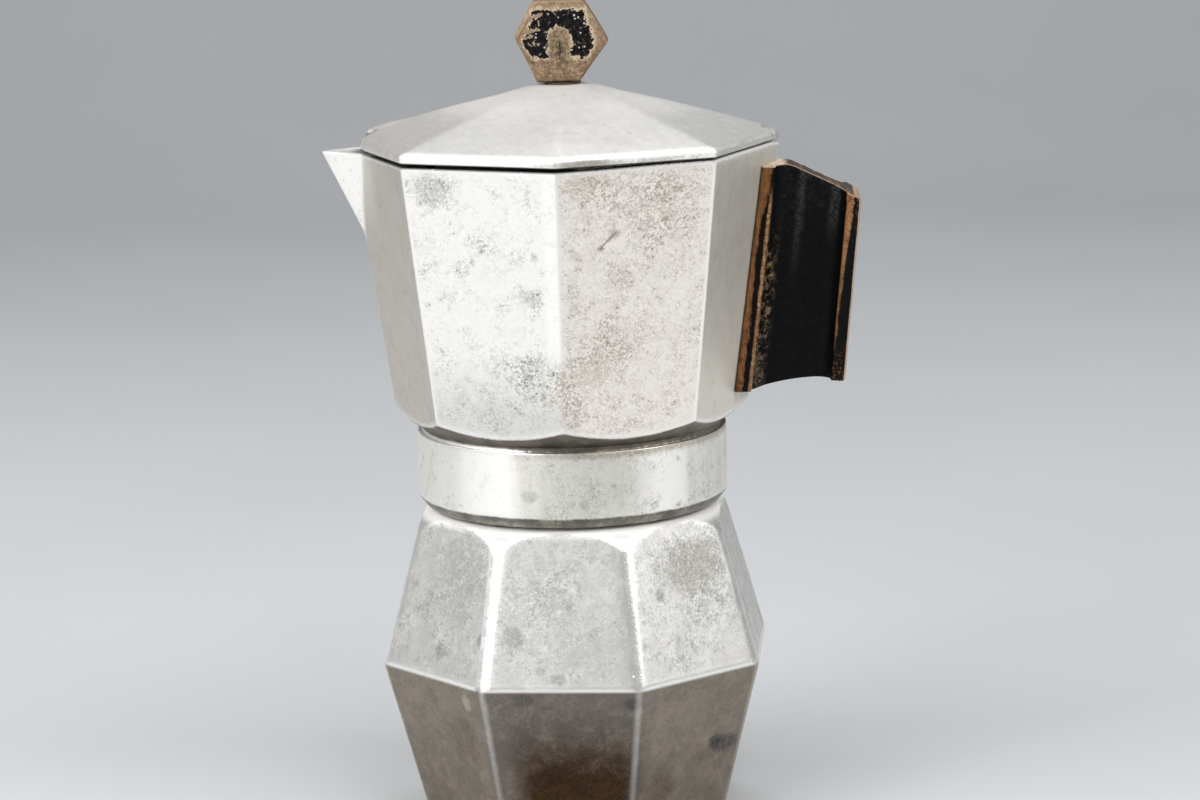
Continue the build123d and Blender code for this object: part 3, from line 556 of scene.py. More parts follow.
def lid_crown(spot):
    """Height added to the lid's slopes: a slight belly, and a nub where the ridge ends over the spout."""
    r = math.hypot(spot.x, spot.y)
    t = (RIM_R - r) / (RIM_R - LID_TOP_R)
    up = LID_CROWN * smoothstep(0.0, 0.25, t) * (1 - smoothstep(0.40, 0.85, t))
    toward = clamp(-spot.x / max(r, MM))
    belly = smoothstep(0.0, 0.2, t) * (1 - smoothstep(0.6, 0.9, t))
    up += 0.25 * MM * smoothstep(0.7, 1.0, toward) * belly
    beside = smoothstep(NUB_HALF, NUB_HALF * 0.45, abs(spot.y)) if spot.x < 0 else 0.0
    nub = smoothstep(37 * MM, 48 * MM, r) * (1 - smoothstep(NUB_R, NUB_R + 0.7 * MM, r))
    up += NUB_HEIGHT * beside * nub
    lip = smoothstep(11 * MM, 5 * MM, abs(spot.y)) if spot.x < 0 else 0.0
    return up - 0.55 * MM * lip * smoothstep(NUB_R, NUB_R + 0.8 * MM, r)


def lid_point(angle, corner_r, z, rounding, crowned=False, nose=1.0):
    if abs(angle - math.pi) < EIGHTH / 2:
        rounding = max(rounding, NOSE_ROUND * nose)
    r = octagon(angle, corner_r, 0, min(rounding, corner_r * 0.85))
    spot = at(angle, r, z)
    spot.z += uneven(spot, 20 * MM, 0.22 * MM, 2) * 0.5
    if crowned:
        spot.z += lid_crown(spot)
    return spot


def lid_underside():
    """Corner radius, height, rounding, crown and nose of rings from the boss hole out to the rim."""
    under = lid_high.z - LID_WALL
    rows = [
        (LID_HOLE_R / COS_HALF * 0.96, under - 1.6 * MM, LID_HOLE_R, False, 0),
        (6 * MM / COS_HALF * 0.96, under - 1.6 * MM, 5.8 * MM, False, 0),
        (6 * MM / COS_HALF * 0.96, under - 0.1 * MM, 5.8 * MM, False, 0),
        (LID_TOP_R - LID_WALL + 0.4 * MM, under - 0.2 * MM, 5 * MM, False, 0),
    ]
    edge = LID_EDGE_Z - LID_WALL / 2
    inner_r = RIM_R - LID_RIM_WALL / COS_HALF
    for t in (0.2, 0.4, 0.6, 0.8, 0.94):
        corner = mix(LID_TOP_R - LID_WALL, inner_r, t)
        rows.append((corner, mix(under, edge, t), mix(5, 4, t) * MM, False, smoothstep(0.7, 1, t)))
    return rows + [
        (inner_r, edge - 0.3 * MM, 2.5 * MM),
        (inner_r, lid_low.z + 0.3 * MM, 2.5 * MM),
        (inner_r + 0.3 * MM, lid_low.z, 2 * MM),
    ]


def lid_outside():
    """The same values for rings up the rim, over its rounded edge and up the eight soft slopes."""
    outer_r = RIM_R - 0.04 * MM
    round_z = LID_EDGE_Z - LID_ROUND * 0.75
    rows = [
        (RIM_R - 0.55 * MM, lid_low.z, CORNER_ROUND),
        (RIM_R - 0.2 * MM, lid_low.z + 0.15 * MM, CORNER_ROUND),
        (RIM_R - 0.06 * MM, lid_low.z + 0.5 * MM, CORNER_ROUND),
        (outer_r, round_z, CORNER_ROUND),
    ]
    slope = math.atan2(lid_high.z - LID_EDGE_Z, (RIM_R - LID_TOP_R) * COS_HALF)
    for k in range(1, 9):
        turn = (math.pi / 2 - slope) * k / 8
        corner = outer_r - LID_ROUND * (1 - math.cos(turn))
        rows.append((corner, round_z + LID_ROUND * math.sin(turn), mix(1.3, 2.0, k / 8) * MM, True))
    start_r = RIM_R - LID_ROUND * (1 - math.sin(slope))
    start_z = round_z + LID_ROUND * math.cos(slope)
    for k in range(1, LID_RINGS + 1):
        # the rings lie closer together near the rim
        t = (k / LID_RINGS) ** 1.5
        corner = mix(start_r, LID_TOP_R, t)
        rounding = (mix(2.0, 5.0, smoothstep(0, 0.3, t)) + 6 * smoothstep(0.6, 0.95, t)) * MM
        nose = smoothstep(NUB_R - 0.2 * MM, start_r, corner)
        rows.append((corner, mix(start_z, lid_high.z - 0.35 * MM, t), rounding, True, nose))
    top = lid_high.z - 0.03 * MM
    return rows + [
        (LID_TOP_R - 1.0 * MM, lid_high.z - 0.1 * MM, 8 * MM, False, 0),
        (LID_TOP_R - 2.4 * MM, top, 6 * MM, False, 0),
        (4.5 * MM, top, 4 * MM, False, 0),
        (LID_HOLE_R / COS_HALF * 0.96, top, LID_HOLE_R, False, 0),
    ]


def build_lid():
    angles = collector_angles()
    rings = [[lid_point(a, *row) for a in angles] for row in lid_underside() + lid_outside()]
    return ring_mesh("lid_shell", rings, loop=True)


# ------------------------------------------------------------------ knob
KNOB_R = (knob_high.x - knob_low.x) / 2
KNOB_HALF = (knob_high.y - knob_low.y) / 2
KNOB_CENTRE = Vector((0, 0, (knob_high.z + knob_low.z) / 2 + 0.5 * MM))
KNOB_LOWER = (KNOB_CENTRE.z - knob_low.z) / (KNOB_R * math.cos(math.pi / 6))
KNOB_UPPER = (knob_high.z - KNOB_CENTRE.z) / (KNOB_R * math.cos(math.pi / 6))
KNOB_CHAMFER = 1.0 * MM
KNOB_SIDES = 216
SOCKET_R = 3.0 * MM
SOCKET_DEPTH = 9.0 * MM


def hexagon(angle, corner_r, rounding):
    return polygon(angle, corner_r, math.pi / 3, rounding)


def knob_height(plain):
    """Height above the knob's widest line for a height in a regular hexagon: its lower half is taller."""
    return plain * (KNOB_UPPER if plain > 0 else KNOB_LOWER)


def knob_level(height):
    return height / (KNOB_UPPER if height > 0 else KNOB_LOWER)


def knob_wear(spot):
    """Shift of a point of the knob: its six corners are worn unevenly."""
    across = (spot.x - KNOB_CENTRE.x) / KNOB_R
    rise = spot.z - KNOB_CENTRE.z
    share = rise / (knob_high.z - KNOB_CENTRE.z if rise > 0 else KNOB_CENTRE.z - knob_low.z)
    drop = -0.9 * MM * across * (1 - abs(share))
    if share > 0:
        return Vector((share * (-0.7 + 0.7 * across) * MM, 0, drop))
    return Vector((abs(share) * (-0.95 - 1.1 * across) * MM, 0, drop))


def build_knob():
    angles = [2 * math.pi * k / KNOB_SIDES for k in range(KNOB_SIDES)]
    rings = []

    def add(corner_r, y, rounding):
        ring = []
        for a in angles:
            r = hexagon(a, corner_r, min(rounding, corner_r * 0.8))
            spot = KNOB_CENTRE + Vector((r * math.cos(a), y, knob_height(r * math.sin(a))))
            wear = uneven(spot, 5 * MM, 0.10 * MM, 4)
            spot += Vector((math.cos(a), 0, math.sin(a))) * wear * 0.6
            ring.append(spot + knob_wear(spot) * clamp((corner_r - 3.3 * MM) / (4 * MM)))
        rings.append(ring)

    face_r = KNOB_R - KNOB_CHAMFER / math.cos(math.pi / 6)
    body_r = KNOB_R - 0.12 * MM
    shares = [0.06, 0.14, 0.22, 0.3, 0.38, 0.45, 0.51, 0.57]
    shares += [0.62, 0.67, 0.72, 0.77, 0.82, 0.87, 0.92, 0.97]
    for share in shares:
        add(face_r * share, -KNOB_HALF + 0.30 * MM, 0.9 * MM)
    add(face_r - 0.1 * MM, -KNOB_HALF + 0.30 * MM, 1.1 * MM)
    add(face_r + 0.25 * MM, -KNOB_HALF + 0.42 * MM, 1.1 * MM)
    for t in (0.35, 0.65):
        add(mix(face_r, body_r, t) + 0.08 * MM, -KNOB_HALF + mix(0.3 * MM, KNOB_CHAMFER, t), 1.1 * MM)
    for y in (KNOB_CHAMFER, 1.6 * MM, 3 * MM, 4.5 * MM, 6 * MM, 7.4 * MM, 2 * KNOB_HALF - KNOB_CHAMFER):
        add(body_r, -KNOB_HALF + y, 1.2 * MM)
    for t in (0.65, 0.35):
        add(mix(face_r, body_r, t) + 0.08 * MM, KNOB_HALF - mix(0.3 * MM, KNOB_CHAMFER, t), 1.1 * MM)
    add(face_r + 0.25 * MM, KNOB_HALF - 0.42 * MM, 1.1 * MM)
    for share in reversed(shares):
        add(face_r * share, KNOB_HALF - 0.30 * MM, 0.9 * MM)
    return ring_mesh("knob_bakelite_body", rings)


# ------------------------------------------------------------------ handle
HANDLE_HALF = handle_high.y
HANDLE_TOP_Z = handle_high.z
HANDLE_OUTER_TOP = Vector((handle_high.x, 0, RIM_Z - 13.6 * MM))
HANDLE_OUTER_FOOT = Vector((RIM_R + 15.5 * MM, 0, COLLAR_TOP_Z + 12.9 * MM))
HANDLE_SHOULDER_X = RIM_R + 2.5 * MM
HANDLE_INNER_TOP_X = RIM_R - 1.3 * MM
HANDLE_INNER_FOOT = Vector((FACET_FOOT_R + 0.6 * MM, 0, COLLAR_TOP_Z + 9.1 * MM))
HANDLE_WEB_HALF = 4.5 * MM
HANDLE_FILLET = 4.2 * MM
HANDLE_OUTER_FLANGE = 3.6 * MM
HANDLE_ARCH_Z = COLLAR_TOP_Z + 11.7 * MM
HANDLE_EDGE = 0.5 * MM
SCREW_Z = COLLAR_TOP_Z + 43.0 * MM
SCREW_HOLE_R = 4.2 * MM


def handle_outer_x(z):
    top, foot = HANDLE_OUTER_TOP, HANDLE_OUTER_FOOT
    return min(foot.x + (top.x - foot.x) * (z - foot.z) / (top.z - foot.z) + 0.15 * MM, top.x)


def handle_inner_x(z):
    foot = HANDLE_INNER_FOOT
    return foot.x + (HANDLE_INNER_TOP_X - foot.x) * (z - foot.z) / (HANDLE_TOP_Z - foot.z)


def handle_seat_x(y, z):
    """The handle's saddle, just clear of the collector's corner."""
    corner = collector_corner_r(z) + 0.05 * MM
    return corner - math.sqrt(y * y + (1.2 * MM) ** 2) * math.tan(EIGHTH / 2) + 0.1 * MM


def handle_top_z(x):
    """Height of the handle's top: level beside the pot, then sloping down to the outer flange."""
    slope = (HANDLE_TOP_Z - HANDLE_OUTER_TOP.z) / (HANDLE_OUTER_TOP.x - HANDLE_SHOULDER_X)
    falling = HANDLE_TOP_Z - (x - HANDLE_SHOULDER_X) * slope
    return soft_min(HANDLE_TOP_Z, falling, 0.8 * MM)


def handle_foot_z(x):
    """Height of the bowed underside."""
    inner = Vector((HANDLE_INNER_FOOT.x + 1.2 * MM, 0, HANDLE_INNER_FOOT.z))
    outer_x = HANDLE_OUTER_FOOT.x - HANDLE_OUTER_FLANGE
    middle_x = (HANDLE_INNER_FOOT.x + 2 * HANDLE_OUTER_FOOT.x) / 3
    if x <= inner.x:
        return inner.z
    # a parabola through the inner foot, level between the two outer points
    peak_x = (outer_x + middle_x) / 2
    curve = (HANDLE_ARCH_Z - inner.z) / ((outer_x - peak_x) ** 2 - (inner.x - peak_x) ** 2)
    return inner.z + curve * ((x - peak_x) ** 2 - (inner.x - peak_x) ** 2)


def handle_section():
    """Half of the handle's level outline, from its inner middle to its outer middle.

    Each entry is (stretch, distance or share of the way along it, distance from the middle plane).
    """
    half, web, fillet = HANDLE_HALF, HANDLE_WEB_HALF, HANDLE_FILLET
    points = [("seat", 0, y * MM) for y in (0, 0.6, 1.2, 2, 3, 4.5, 6, 7.5, 9)]
    edge = 0.7 * MM
    for turn in quarter(4):
        points.append(("seat", edge * (1 - math.cos(turn)), half - edge + edge * math.sin(turn)))
    points += [("rib", share, half) for share in (0.35, 0.7)]
    lip = 0.55 * MM
    for turn in quarter(4):
        points.append(("inner", -lip + lip * math.sin(turn), half - lip * (1 - math.cos(turn))))
    points.append(("inner", 0, web + fillet + 0.6 * MM))
    for turn in quarter(10):
        points.append(("inner", fillet * (1 - math.cos(turn)), web + fillet * (1 - math.sin(turn))))
    points += [("web", k / 20, web) for k in range(1, 20)]
    for turn in quarter(10):
        points.append(("flange", -fillet * (1 - math.sin(turn)), web + fillet * (1 - math.cos(turn))))
    points.append(("flange", 0, web + fillet + 0.6 * MM))
    for turn in quarter(4):
        points.append(("flange", lip * (1 - math.cos(turn)), half - lip + lip * math.sin(turn)))
    points += [("lip", share, half) for share in (0.35, 0.65)]
    edge = 1.1 * MM
    for turn in quarter(6):
        points.append(("outer", -edge + edge * math.sin(turn), half - edge * (1 - math.cos(turn))))
    return points + [("outer", 0.0, y * MM) for y in (7.5, 6, 4.2, 3, 2, 1, 0)]


def handle_x(kind, amount, y, z):
    outer = handle_outer_x(z)
    flange = outer - HANDLE_OUTER_FLANGE
    inner = handle_inner_x(z)
    if kind == "seat":
        return handle_seat_x(min(y, HANDLE_HALF), z) + amount
    if kind == "rib":
        return mix(handle_seat_x(y, z) + 0.7 * MM, inner - 0.55 * MM, amount)
    if kind == "inner":
        return inner + amount
    if kind == "web":
        return mix(inner + HANDLE_FILLET, flange - HANDLE_FILLET, amount)
    if kind == "flange":
        return flange + amount
    if kind == "lip":
        return mix(flange + 0.55 * MM, outer - 1.1 * MM, amount)
    return outer + amount


def handle_spot(kind, amount, y, t, rise, inset):
    """A point of the handle, t of the way up; rise and inset round its upper and lower edges."""
    z = mix(HANDLE_INNER_FOOT.z, HANDLE_TOP_Z, t)
    x = handle_x(kind, amount, abs(y), z)
    for _ in range(5):
        z = mix(handle_foot_z(x), handle_top_z(x), t) + rise
        x = handle_x(kind, amount, abs(y), z)
    aside = abs(y) > 1e-9
    if kind == "outer":
        x -= inset
    spot = Vector((x, math.copysign(max(abs(y) - inset, 0), y) if aside else 0.0, z))
    dent = uneven(spot, 6 * MM, 0.12 * MM, 8) + uneven(spot, 2.2 * MM, 0.04 * MM, 6)
    if aside and kind not in ("seat", "rib"):
        spot.y += math.copysign(dent, y)
    if t >= 0.99 and kind in ("web", "flange", "lip", "outer"):
        # small chips along the top
        spot.z -= 1.6 * abs(uneven(spot, 1.3 * MM, 0.16 * MM, 12))
    return spot


def build_handle():
    half = handle_section()
    outline = half + [(kind, amount, -y) for kind, amount, y in reversed(half[1:-1])]
    rounded = [(HANDLE_EDGE * (1 - math.cos(t)), HANDLE_EDGE * (1 - math.sin(t))) for t in quarter(5)]
    levels = [(0.0, rise, inset) for rise, inset in rounded]
    levels += [(t, 0.0, 0.0) for t in spaced(0.04, 0.965, 0.0165)]
    levels += [(1.0, -rise, inset) for rise, inset in reversed(rounded)]
    points = [handle_spot(*place, *around) for around in levels for place in outline]
    count = len(outline)
    faces = tube_faces(count, len(levels))
    # top and underside are ladders from one side to the other
    for start in (0, len(points) - count):
        for k in range(len(half) - 1):
            corners = (k, k + 1, (count - k - 1) % count, (count - k) % count)
            faces.append(tuple(dict.fromkeys(start + corner for corner in corners)))
    return mesh_object("handle_bakelite_body", points, faces)


# ------------------------------------------------------------------ shader helpers
class Varying:
    """A node's output: a number, vector or colour that varies. Arithmetic on it adds nodes."""

    def __init__(self, graph, socket):
        self.graph = graph
        self.socket = socket

    def __add__(self, other):
        return self.graph.math("ADD", self, other)

    def __mul__(self, other):
        return self.graph.math("MULTIPLY", self, other)

    def __sub__(self, other):
        return self.graph.math("SUBTRACT", self, other)

    def __rsub__(self, other):
        return self.graph.math("SUBTRACT", other, self)

    def __abs__(self):
        return self.graph.math("ABSOLUTE", self)

    __radd__ = __add__
    __rmul__ = __mul__


class Graph:
    """A material's node tree, with short calls for the nodes used here. Lengths are in millimetres.

    colour is the base colour as built up so far; coat lays the next tone over it.
    """

    def __init__(self, name):
        self.material = bpy.data.materials.new(name)
        self.material.use_nodes = True
        self.tree = self.material.node_tree
        self.tree.nodes.clear()
        self.colour = None
        self.shader = self.node("BsdfPrincipled")
        self.tree.links.new(self.shader.outputs[0], self.node("OutputMaterial").inputs[0])
        place = Varying(self, self.node("TexCoord").outputs["Object"])
        self.place = self.vector("SCALE", place, scale=1 / MM)

    def node(self, kind, operation=None):
        """Adds a shader node of a kind, given without its prefix."""
        node = self.tree.nodes.new("ShaderNode" + kind)
        if operation:
            node.operation = operation
        return node

    def put(self, socket, value):
        """Links a varying value to a socket, or sets a fixed number, vector or colour on it."""
        if isinstance(value, Varying):
            self.tree.links.new(value.socket, socket)
        elif isinstance(value, (tuple, Vector)):
            value = tuple(value)
            socket.default_value = value + (1,) * (len(socket.default_value) - len(value))
        else:
            socket.default_value = value

    def math(self, kind, a, b=None, limit=False):
        node = self.node("Math", kind)
        node.use_clamp = limit
        self.put(node.inputs[0], a)
        if b is not None:
            self.put(node.inputs[1], b)
        return Varying(self, node.outputs[0])

    def vector(self, kind, a, b=None, scale=None):
        node = self.node("VectorMath", kind)
        self.put(node.inputs[0], a)
        if b is not None:
            self.put(node.inputs[1], b)
        if scale is not None:
            self.put(node.inputs["Scale"], scale)
        return Varying(self, node.outputs["Value" if kind in ("LENGTH", "DOT_PRODUCT") else "Vector"])

    def split(self, vector=None):
        node = self.node("SeparateXYZ")
        self.put(node.inputs[0], vector or self.place)
        return [Varying(self, part) for part in node.outputs]

    def join(self, x, y, z):
        node = self.node("CombineXYZ")
        for socket, value in zip(node.inputs, (x, y, z)):
            self.put(socket, value)
        return Varying(self, node.outputs[0])

    def texture(self, kind, size, seed, spread, place=None):
        """Adds a texture node with features of a size; each seed shifts it along spread."""
        node = self.node(kind)
        shift = tuple(seed * step for step in spread)
        self.put(node.inputs["Vector"], self.vector("ADD", place or self.place, shift))
        node.inputs["Scale"].default_value = 1 / size
        return node

    def noise(self, size, detail=3.0, rough=0.55, warp=0.0, seed=0.0, place=None):
        node = self.texture("TexNoise", size, seed, (37.1, 11.7, 23.3), place)
        for key, value in (("Detail", detail), ("Roughness", rough), ("Distortion", warp)):
            node.inputs[key].default_value = value
        return Varying(self, node.outputs["Fac"])

    def cells(self, size, seed=0.0):
        """Distance to the nearest of scattered points, about 0 to 1, and a random value for each."""
        node = self.texture("TexVoronoi", size, seed, (17.9, 41.3, 5.7))
        parts = self.node("SeparateColor")
        self.tree.links.new(node.outputs["Color"], parts.inputs[0])
        return Varying(self, node.outputs["Distance"]), Varying(self, parts.outputs[0])

    def attribute(self, name):
        node = self.node("Attribute")
        node.attribute_name = name
        return Varying(self, node.outputs["Fac"])

    def spot(self, centre, radii, soft=0.35, wobble=0.35, grain=3.0, seed=0.0):
        """A patch with a ragged edge round a point: 1 inside, 0 outside. Radii may differ by axis."""
        offset = self.vector("SUBTRACT", self.place, centre)
        distance = self.vector("LENGTH", self.vector("DIVIDE", offset, radii))
        ragged = (self.noise(grain, 4, 0.65, 0.3, seed) - 0.5) * (2 * wobble)
        return band(distance + ragged, 1 + soft, 1 - soft)

    def stroke(self, start, end, width, wobble=0.4, seed=0.0):
        """A thin ragged mark between two points: 1 inside, 0 outside."""
        run = Vector(end) - Vector(start)
        offset = self.vector("SUBTRACT", self.place, start)
        reached = self.vector("DOT_PRODUCT", offset, run)
        along = self.math("DIVIDE", reached, run.length_squared, limit=True)
        nearest = self.vector("SCALE", run, scale=along)
        away = self.vector("LENGTH", self.vector("SUBTRACT", offset, nearest))
        ragged = (self.noise(0.9, 4, 0.65, 0, seed) - 0.5) * (2 * wobble * width)
        return band(away + ragged, width * 1.3, width * 0.6)

    def coat(self, tone, *shares):
        """Lays a tone over the colour, as thickly as the product of the shares."""
        self.colour = blend(math.prod(shares[1:], start=shares[0]), self.colour, tone)

    def bump(self, *layers):
        """Bump from (height value, millimetres) pairs, added together."""
        parts = [value * depth for value, depth in layers]
        node = self.node("Bump")
        node.inputs["Distance"].default_value = MM
        self.put(node.inputs["Height"], sum(parts[1:], start=parts[0]))
        self.tree.links.new(node.outputs[0], self.shader.inputs["Normal"])

    def finish(self, rough, metallic=0.0):
        for key, value in (("Base Color", self.colour), ("Roughness", rough), ("Metallic", metallic)):
            self.put(self.shader.inputs[key], value)
        return self.material


def band(value, low, high, start=0.0, end=1.0):
    """Smoothly from start to end while value goes from low to high."""
    node = value.graph.node("MapRange")
    node.interpolation_type = "SMOOTHSTEP"
    keys = ("Value", "From Min", "From Max", "To Min", "To Max")
    for key, number in zip(keys, (value, low, high, start, end)):
        value.graph.put(node.inputs[key], number)
    return Varying(value.graph, node.outputs["Result"])


def blend(share, a, b):
    """From colour a to colour b while share goes from 0 to 1."""
    node = share.graph.node("Mix")
    node.data_type = "RGBA"
    node.clamp_factor = True
    for place, value in ((0, share), (6, a), (7, b)):
        share.graph.put(node.inputs[place], value)
    return Varying(share.graph, node.outputs[2])


def most(a, b):
    return a.graph.math("MAXIMUM", a, b)


def least(a, b):
    return a.graph.math("MINIMUM", a, b)


def root(value):
    return value.graph.math("SQRT", value)


def flip(value):
    return value.graph.math("SUBTRACT", 1.0, value, limit=True)


def dress(obj, material):
    """Gives a piece one material over all."""
    obj.data.materials.clear()
    obj.data.materials.append(material)


# ------------------------------------------------------------------ materials
WHITE_METAL = (0.945, 0.925, 0.885)
BRIGHT_METAL = (0.97, 0.955, 0.93)
GREY_HAZE = (0.27, 0.258, 0.232)
DARK_GRIT = (0.15, 0.138, 0.118)
# grime, and painted shade in the gaps between rim and lid
SEAM_GRIME_AND_SHADE = (0.030, 0.024, 0.018)


def scattered_marks(g, seed, grain, grit):
    """Scattered ragged grey dots and small pits."""
    far, chance = g.cells(8.5, seed)
    ragged = (g.noise(1.2, 5, 0.7, 0, seed + 8) - 0.5) * 0.34
    dots = band(far + ragged, 0.17, 0.03) * band(chance, 0.66, 0.72) * (0.2 + grit)
    g.coat((0.27, 0.25, 0.215), dots, 0.5 * grain)
    far, chance = g.cells(5.2, seed + 7)
    pits = band(far, 0.06, 0.025) * band(chance, 0.55, 0.6) * grain
    g.coat((0.1, 0.09, 0.075), pits, 0.8)
    return dots, pits


def stained_cover(g, seed, cover, stains):
    """The grit's cover with the speckled stains in it, and the smooth ones as (patch, amount, shade)."""
    smooth = []
    for centre, radii, amount, shade in stains:
        soft_edge, wobble = (0.8, 1.0) if shade is None else (0.45, 0.6)
        patch = g.spot(centre, radii, soft_edge, wobble, 2.2, seed + centre[2] * 0.37)
        if shade is None:
            cover = cover + patch * amount
        else:
            smooth.append((patch, amount, shade))
    return cover, smooth


def smudge(g, patch, amount, shade, grit):
    """Lays a smooth stain over the colour, a little grainy."""
    g.coat(shade, patch, 0.45 * amount + grit * (1.1 * amount))


def cast_aluminium(name, seed, coverage, stains=(), paint=None, base=WHITE_METAL, grain=1.0, blotches=1.0):
    """Aged cast aluminium: pale metal under soft ragged clouds of fine grit, with pits and stains.

    coverage gives how thickly the grit lies, about 0 to 1. A stain is (centre, radii, amount, shade);
    without a shade it thickens the grit. paint lays more tones and returns roughness and metalness.
    """
    g = Graph(name)
    mottle = g.noise(5.5, 8, 0.72, 0.3, seed)
    broad = g.noise(19, 3, 0.5, 0.4, seed + 1)
    soft = g.noise(1.3, 4, 0.65, 0.2, seed + 2)
    fine = g.noise(0.55, 2, 0.75, 0, seed + 3)
    _, grain_a = g.cells(0.42, seed + 3)
    _, grain_b = g.cells(0.70, seed + 5)
    # grit swings round 0.5 from grain to grain; its three parts average 1.025 together
    grit = 0.5 - 0.5 * 2.05 + fine * 1.4 + grain_a * 0.35 + grain_b * 0.3
    cover = coverage(g) if callable(coverage) else coverage
    cover, smooth_stains = stained_cover(g, seed, cover + (broad - 0.5) * 0.9, stains)
    # cloud is about 0 on clean metal and 1 under the thickest grit
    cloud = band(mottle + cover * 0.2 + soft * 0.22, 0.56, 1.0)
    g.colour = blend(band(mottle, 0.6, 0.38) * 0.14, base, (0.68, 0.64, 0.575))
    veil = band(g.noise(9, 5, 0.6, 0.6, seed + 9), 0.5, 0.72) * (0.06 + cloud * 0.14)
    swing = (grit - 0.5) * (0.14 + cloud * 1.4) * grain
    blotchy = (g.noise(2.8, 4, 0.6, 0.4, seed + 11) - 0.5) * (0.15 + cloud * 0.9) * blotches
    darkness = cloud * 0.46 + veil + swing + blotchy
    g.coat(BRIGHT_METAL, g.math("MULTIPLY", darkness, -1.8, limit=True))
    g.coat(GREY_HAZE, most(darkness, 0.0))
    specks = band(grit + cloud * 0.38 + soft * 0.3, 1.2, 1.36) * grain
    g.coat(DARK_GRIT, specks, 0.26)
    dots, pits = scattered_marks(g, seed, grain, grit)
    rough = 0.36 + cloud * 0.14 + specks * 0.15 + dots * 0.1
    for patch, amount, shade in smooth_stains:
        smudge(g, patch, amount, shade, grit)
        rough = rough + patch * (0.12 * amount)
    metallic = 0.80
    if paint is not None:
        rough, metallic = paint(g, rough, grit, mottle)
    g.bump((mottle, 0.06), (soft, 0.03), (grit, 0.012), (pits, -0.10), (dots, -0.02), (broad, 0.10))
    return g.finish(rough, metallic)


def azimuth(g):
    """Angle round the pot's axis, in degrees, -180 to 180, with -90 towards the viewer."""
    x, y, _ = g.split()
    return g.math("ARCTAN2", y, x) * (180 / math.pi)


def on_skin(skin_radius, degrees, height):
    """Point, in millimetres, on a skin given as radius(angle, z), at an azimuth and a height."""
    angle = math.radians(degrees)
    radius = skin_radius(angle, height * MM) / MM
    return (radius * math.cos(angle), radius * math.sin(angle), height)


def stain(skin_radius, degrees, height, wide, high, amount, shade=None):
    return on_skin(skin_radius, degrees, height), (wide, wide, high), amount, shade


def simple_metal(name, colour, dark, rough, turned=False):
    """Plain metal of the small pieces, slightly stained; turned gives it fine lines round the axis."""
    g = Graph(name)
    clouds = g.noise(6.0, 4, 0.6, 0.3, 1)
    if turned:
        x, y, z = g.split()
        lines = g.noise(0.35, 2, 0.6, 0, 1, g.join(root(x * x + y * y), 0.0, z))
    else:
        lines = g.noise(0.5, 3, 0.6, 0, 1)
    g.colour = blend(band(clouds, 0.42, 0.7) * 0.7, colour, dark)
    g.coat(tuple(c * 0.35 for c in dark), band(g.noise(1.1, 3, 0.6, 0, 3), 0.58, 0.72) * 0.45)
    g.bump((lines, 0.03), (g.noise(1.4, 3, 0.6, 0, 6), 0.03))
    return g.finish(rough + clouds * 0.16 + lines * 0.08, 1.0)


def line_of(x, z, run):
    """Distance in x, in millimetres, past a straight line given as a function x(z)."""
    low, high = run(0.0) / MM, run(0.1) / MM
    return x - (low + z * ((high - low) / 100))


HANDLE_TOP = HANDLE_TOP_Z / MM
HANDLE_FOOT = HANDLE_INNER_FOOT.z / MM
DARK_FILLER = (0.045, 0.022, 0.013)


def handle_measures(g):
    """Places on the handle, in millimetres, and the noises that its marks share."""
    x, y, z = g.split()
    half = abs(y)
    outer = line_of(x, z, handle_outer_x)
    ragged = g.noise(2.6, 5, 0.7, 0.4, 3) - 0.5
    streaks = g.noise(0.9, 4, 0.65, 0.2, 5, g.join(x, y, z * 0.22)) - 0.5
    return SimpleNamespace(
        x=x, y=y, z=z, half=half, face=band(half, 8.9, 9.8),
        inner=line_of(x, z, handle_inner_x), outer=outer, flange=outer + HANDLE_OUTER_FLANGE / MM,
        ragged=ragged, streaks=streaks, wander=ragged * 2.0 + streaks * 1.6,
        crumbs=g.noise(0.75, 4, 0.72, 0, 15), blotch=g.noise(2.1, 6, 0.74, 0.4, 25),
    )


def rib_wear(m):
    """The inner flange's lip, and with it the flange's bare faces beside the pot."""
    widening = band(m.z, HANDLE_TOP, HANDLE_TOP - 18, 0.0, 1.3)
    seat_side = band(m.inner + m.wander + widening * 1.25, -0.4, -0.9)
    lip = band(abs(m.inner + 0.25 + m.wander * 0.35), 0.72, 0.38)
    lip = lip * band(m.z, HANDLE_TOP - 4, HANDLE_TOP - 12)
    return lip, most(m.face * seat_side, band(m.half, 8.4, 9.2) * lip)


def flange_wear(m):
    """A line along the outer flange's inner edge that thins downwards, and its crumbling ends."""
    width = 1.7 - band(m.z, HANDLE_TOP - 10, HANDLE_FOOT + 20) * 1.25
    line = band(m.flange + m.wander * 0.3, -0.35, -0.05)
    line = line * band(m.flange + m.wander * 0.7 - width, 0.2, -0.2)
    line = line * band(m.z, HANDLE_FOOT + 9, HANDLE_FOOT + 17) * band(m.half, 8.2, 9.0)
    upper_end = band(m.z, HANDLE_TOP - 17, HANDLE_TOP - 14) * band(m.outer, -1.6, -0.6)
    ends = most(band(m.z, HANDLE_FOOT + 13, HANDLE_FOOT + 5), upper_end)
    crumbled = band(m.crumbs + m.ragged * 0.3, 0.5, 0.6) * ends * band(m.flange, -0.3, 0.2) * m.face
    return line, crumbled


def web_patches(m):
    """Patches on the lower web, beside the inner flange, where the black skin is thin."""
    low = band(m.z, HANDLE_TOP - 13, HANDLE_TOP - 30)
    patches = band(m.blotch + low * 0.06, 0.52, 0.6) * band(m.half, 4.4, 5.0)
    return patches * band(m.inner, 0.0, 0.4) * band(m.inner + m.wander * 1.4, 4.2, 2.6) * low


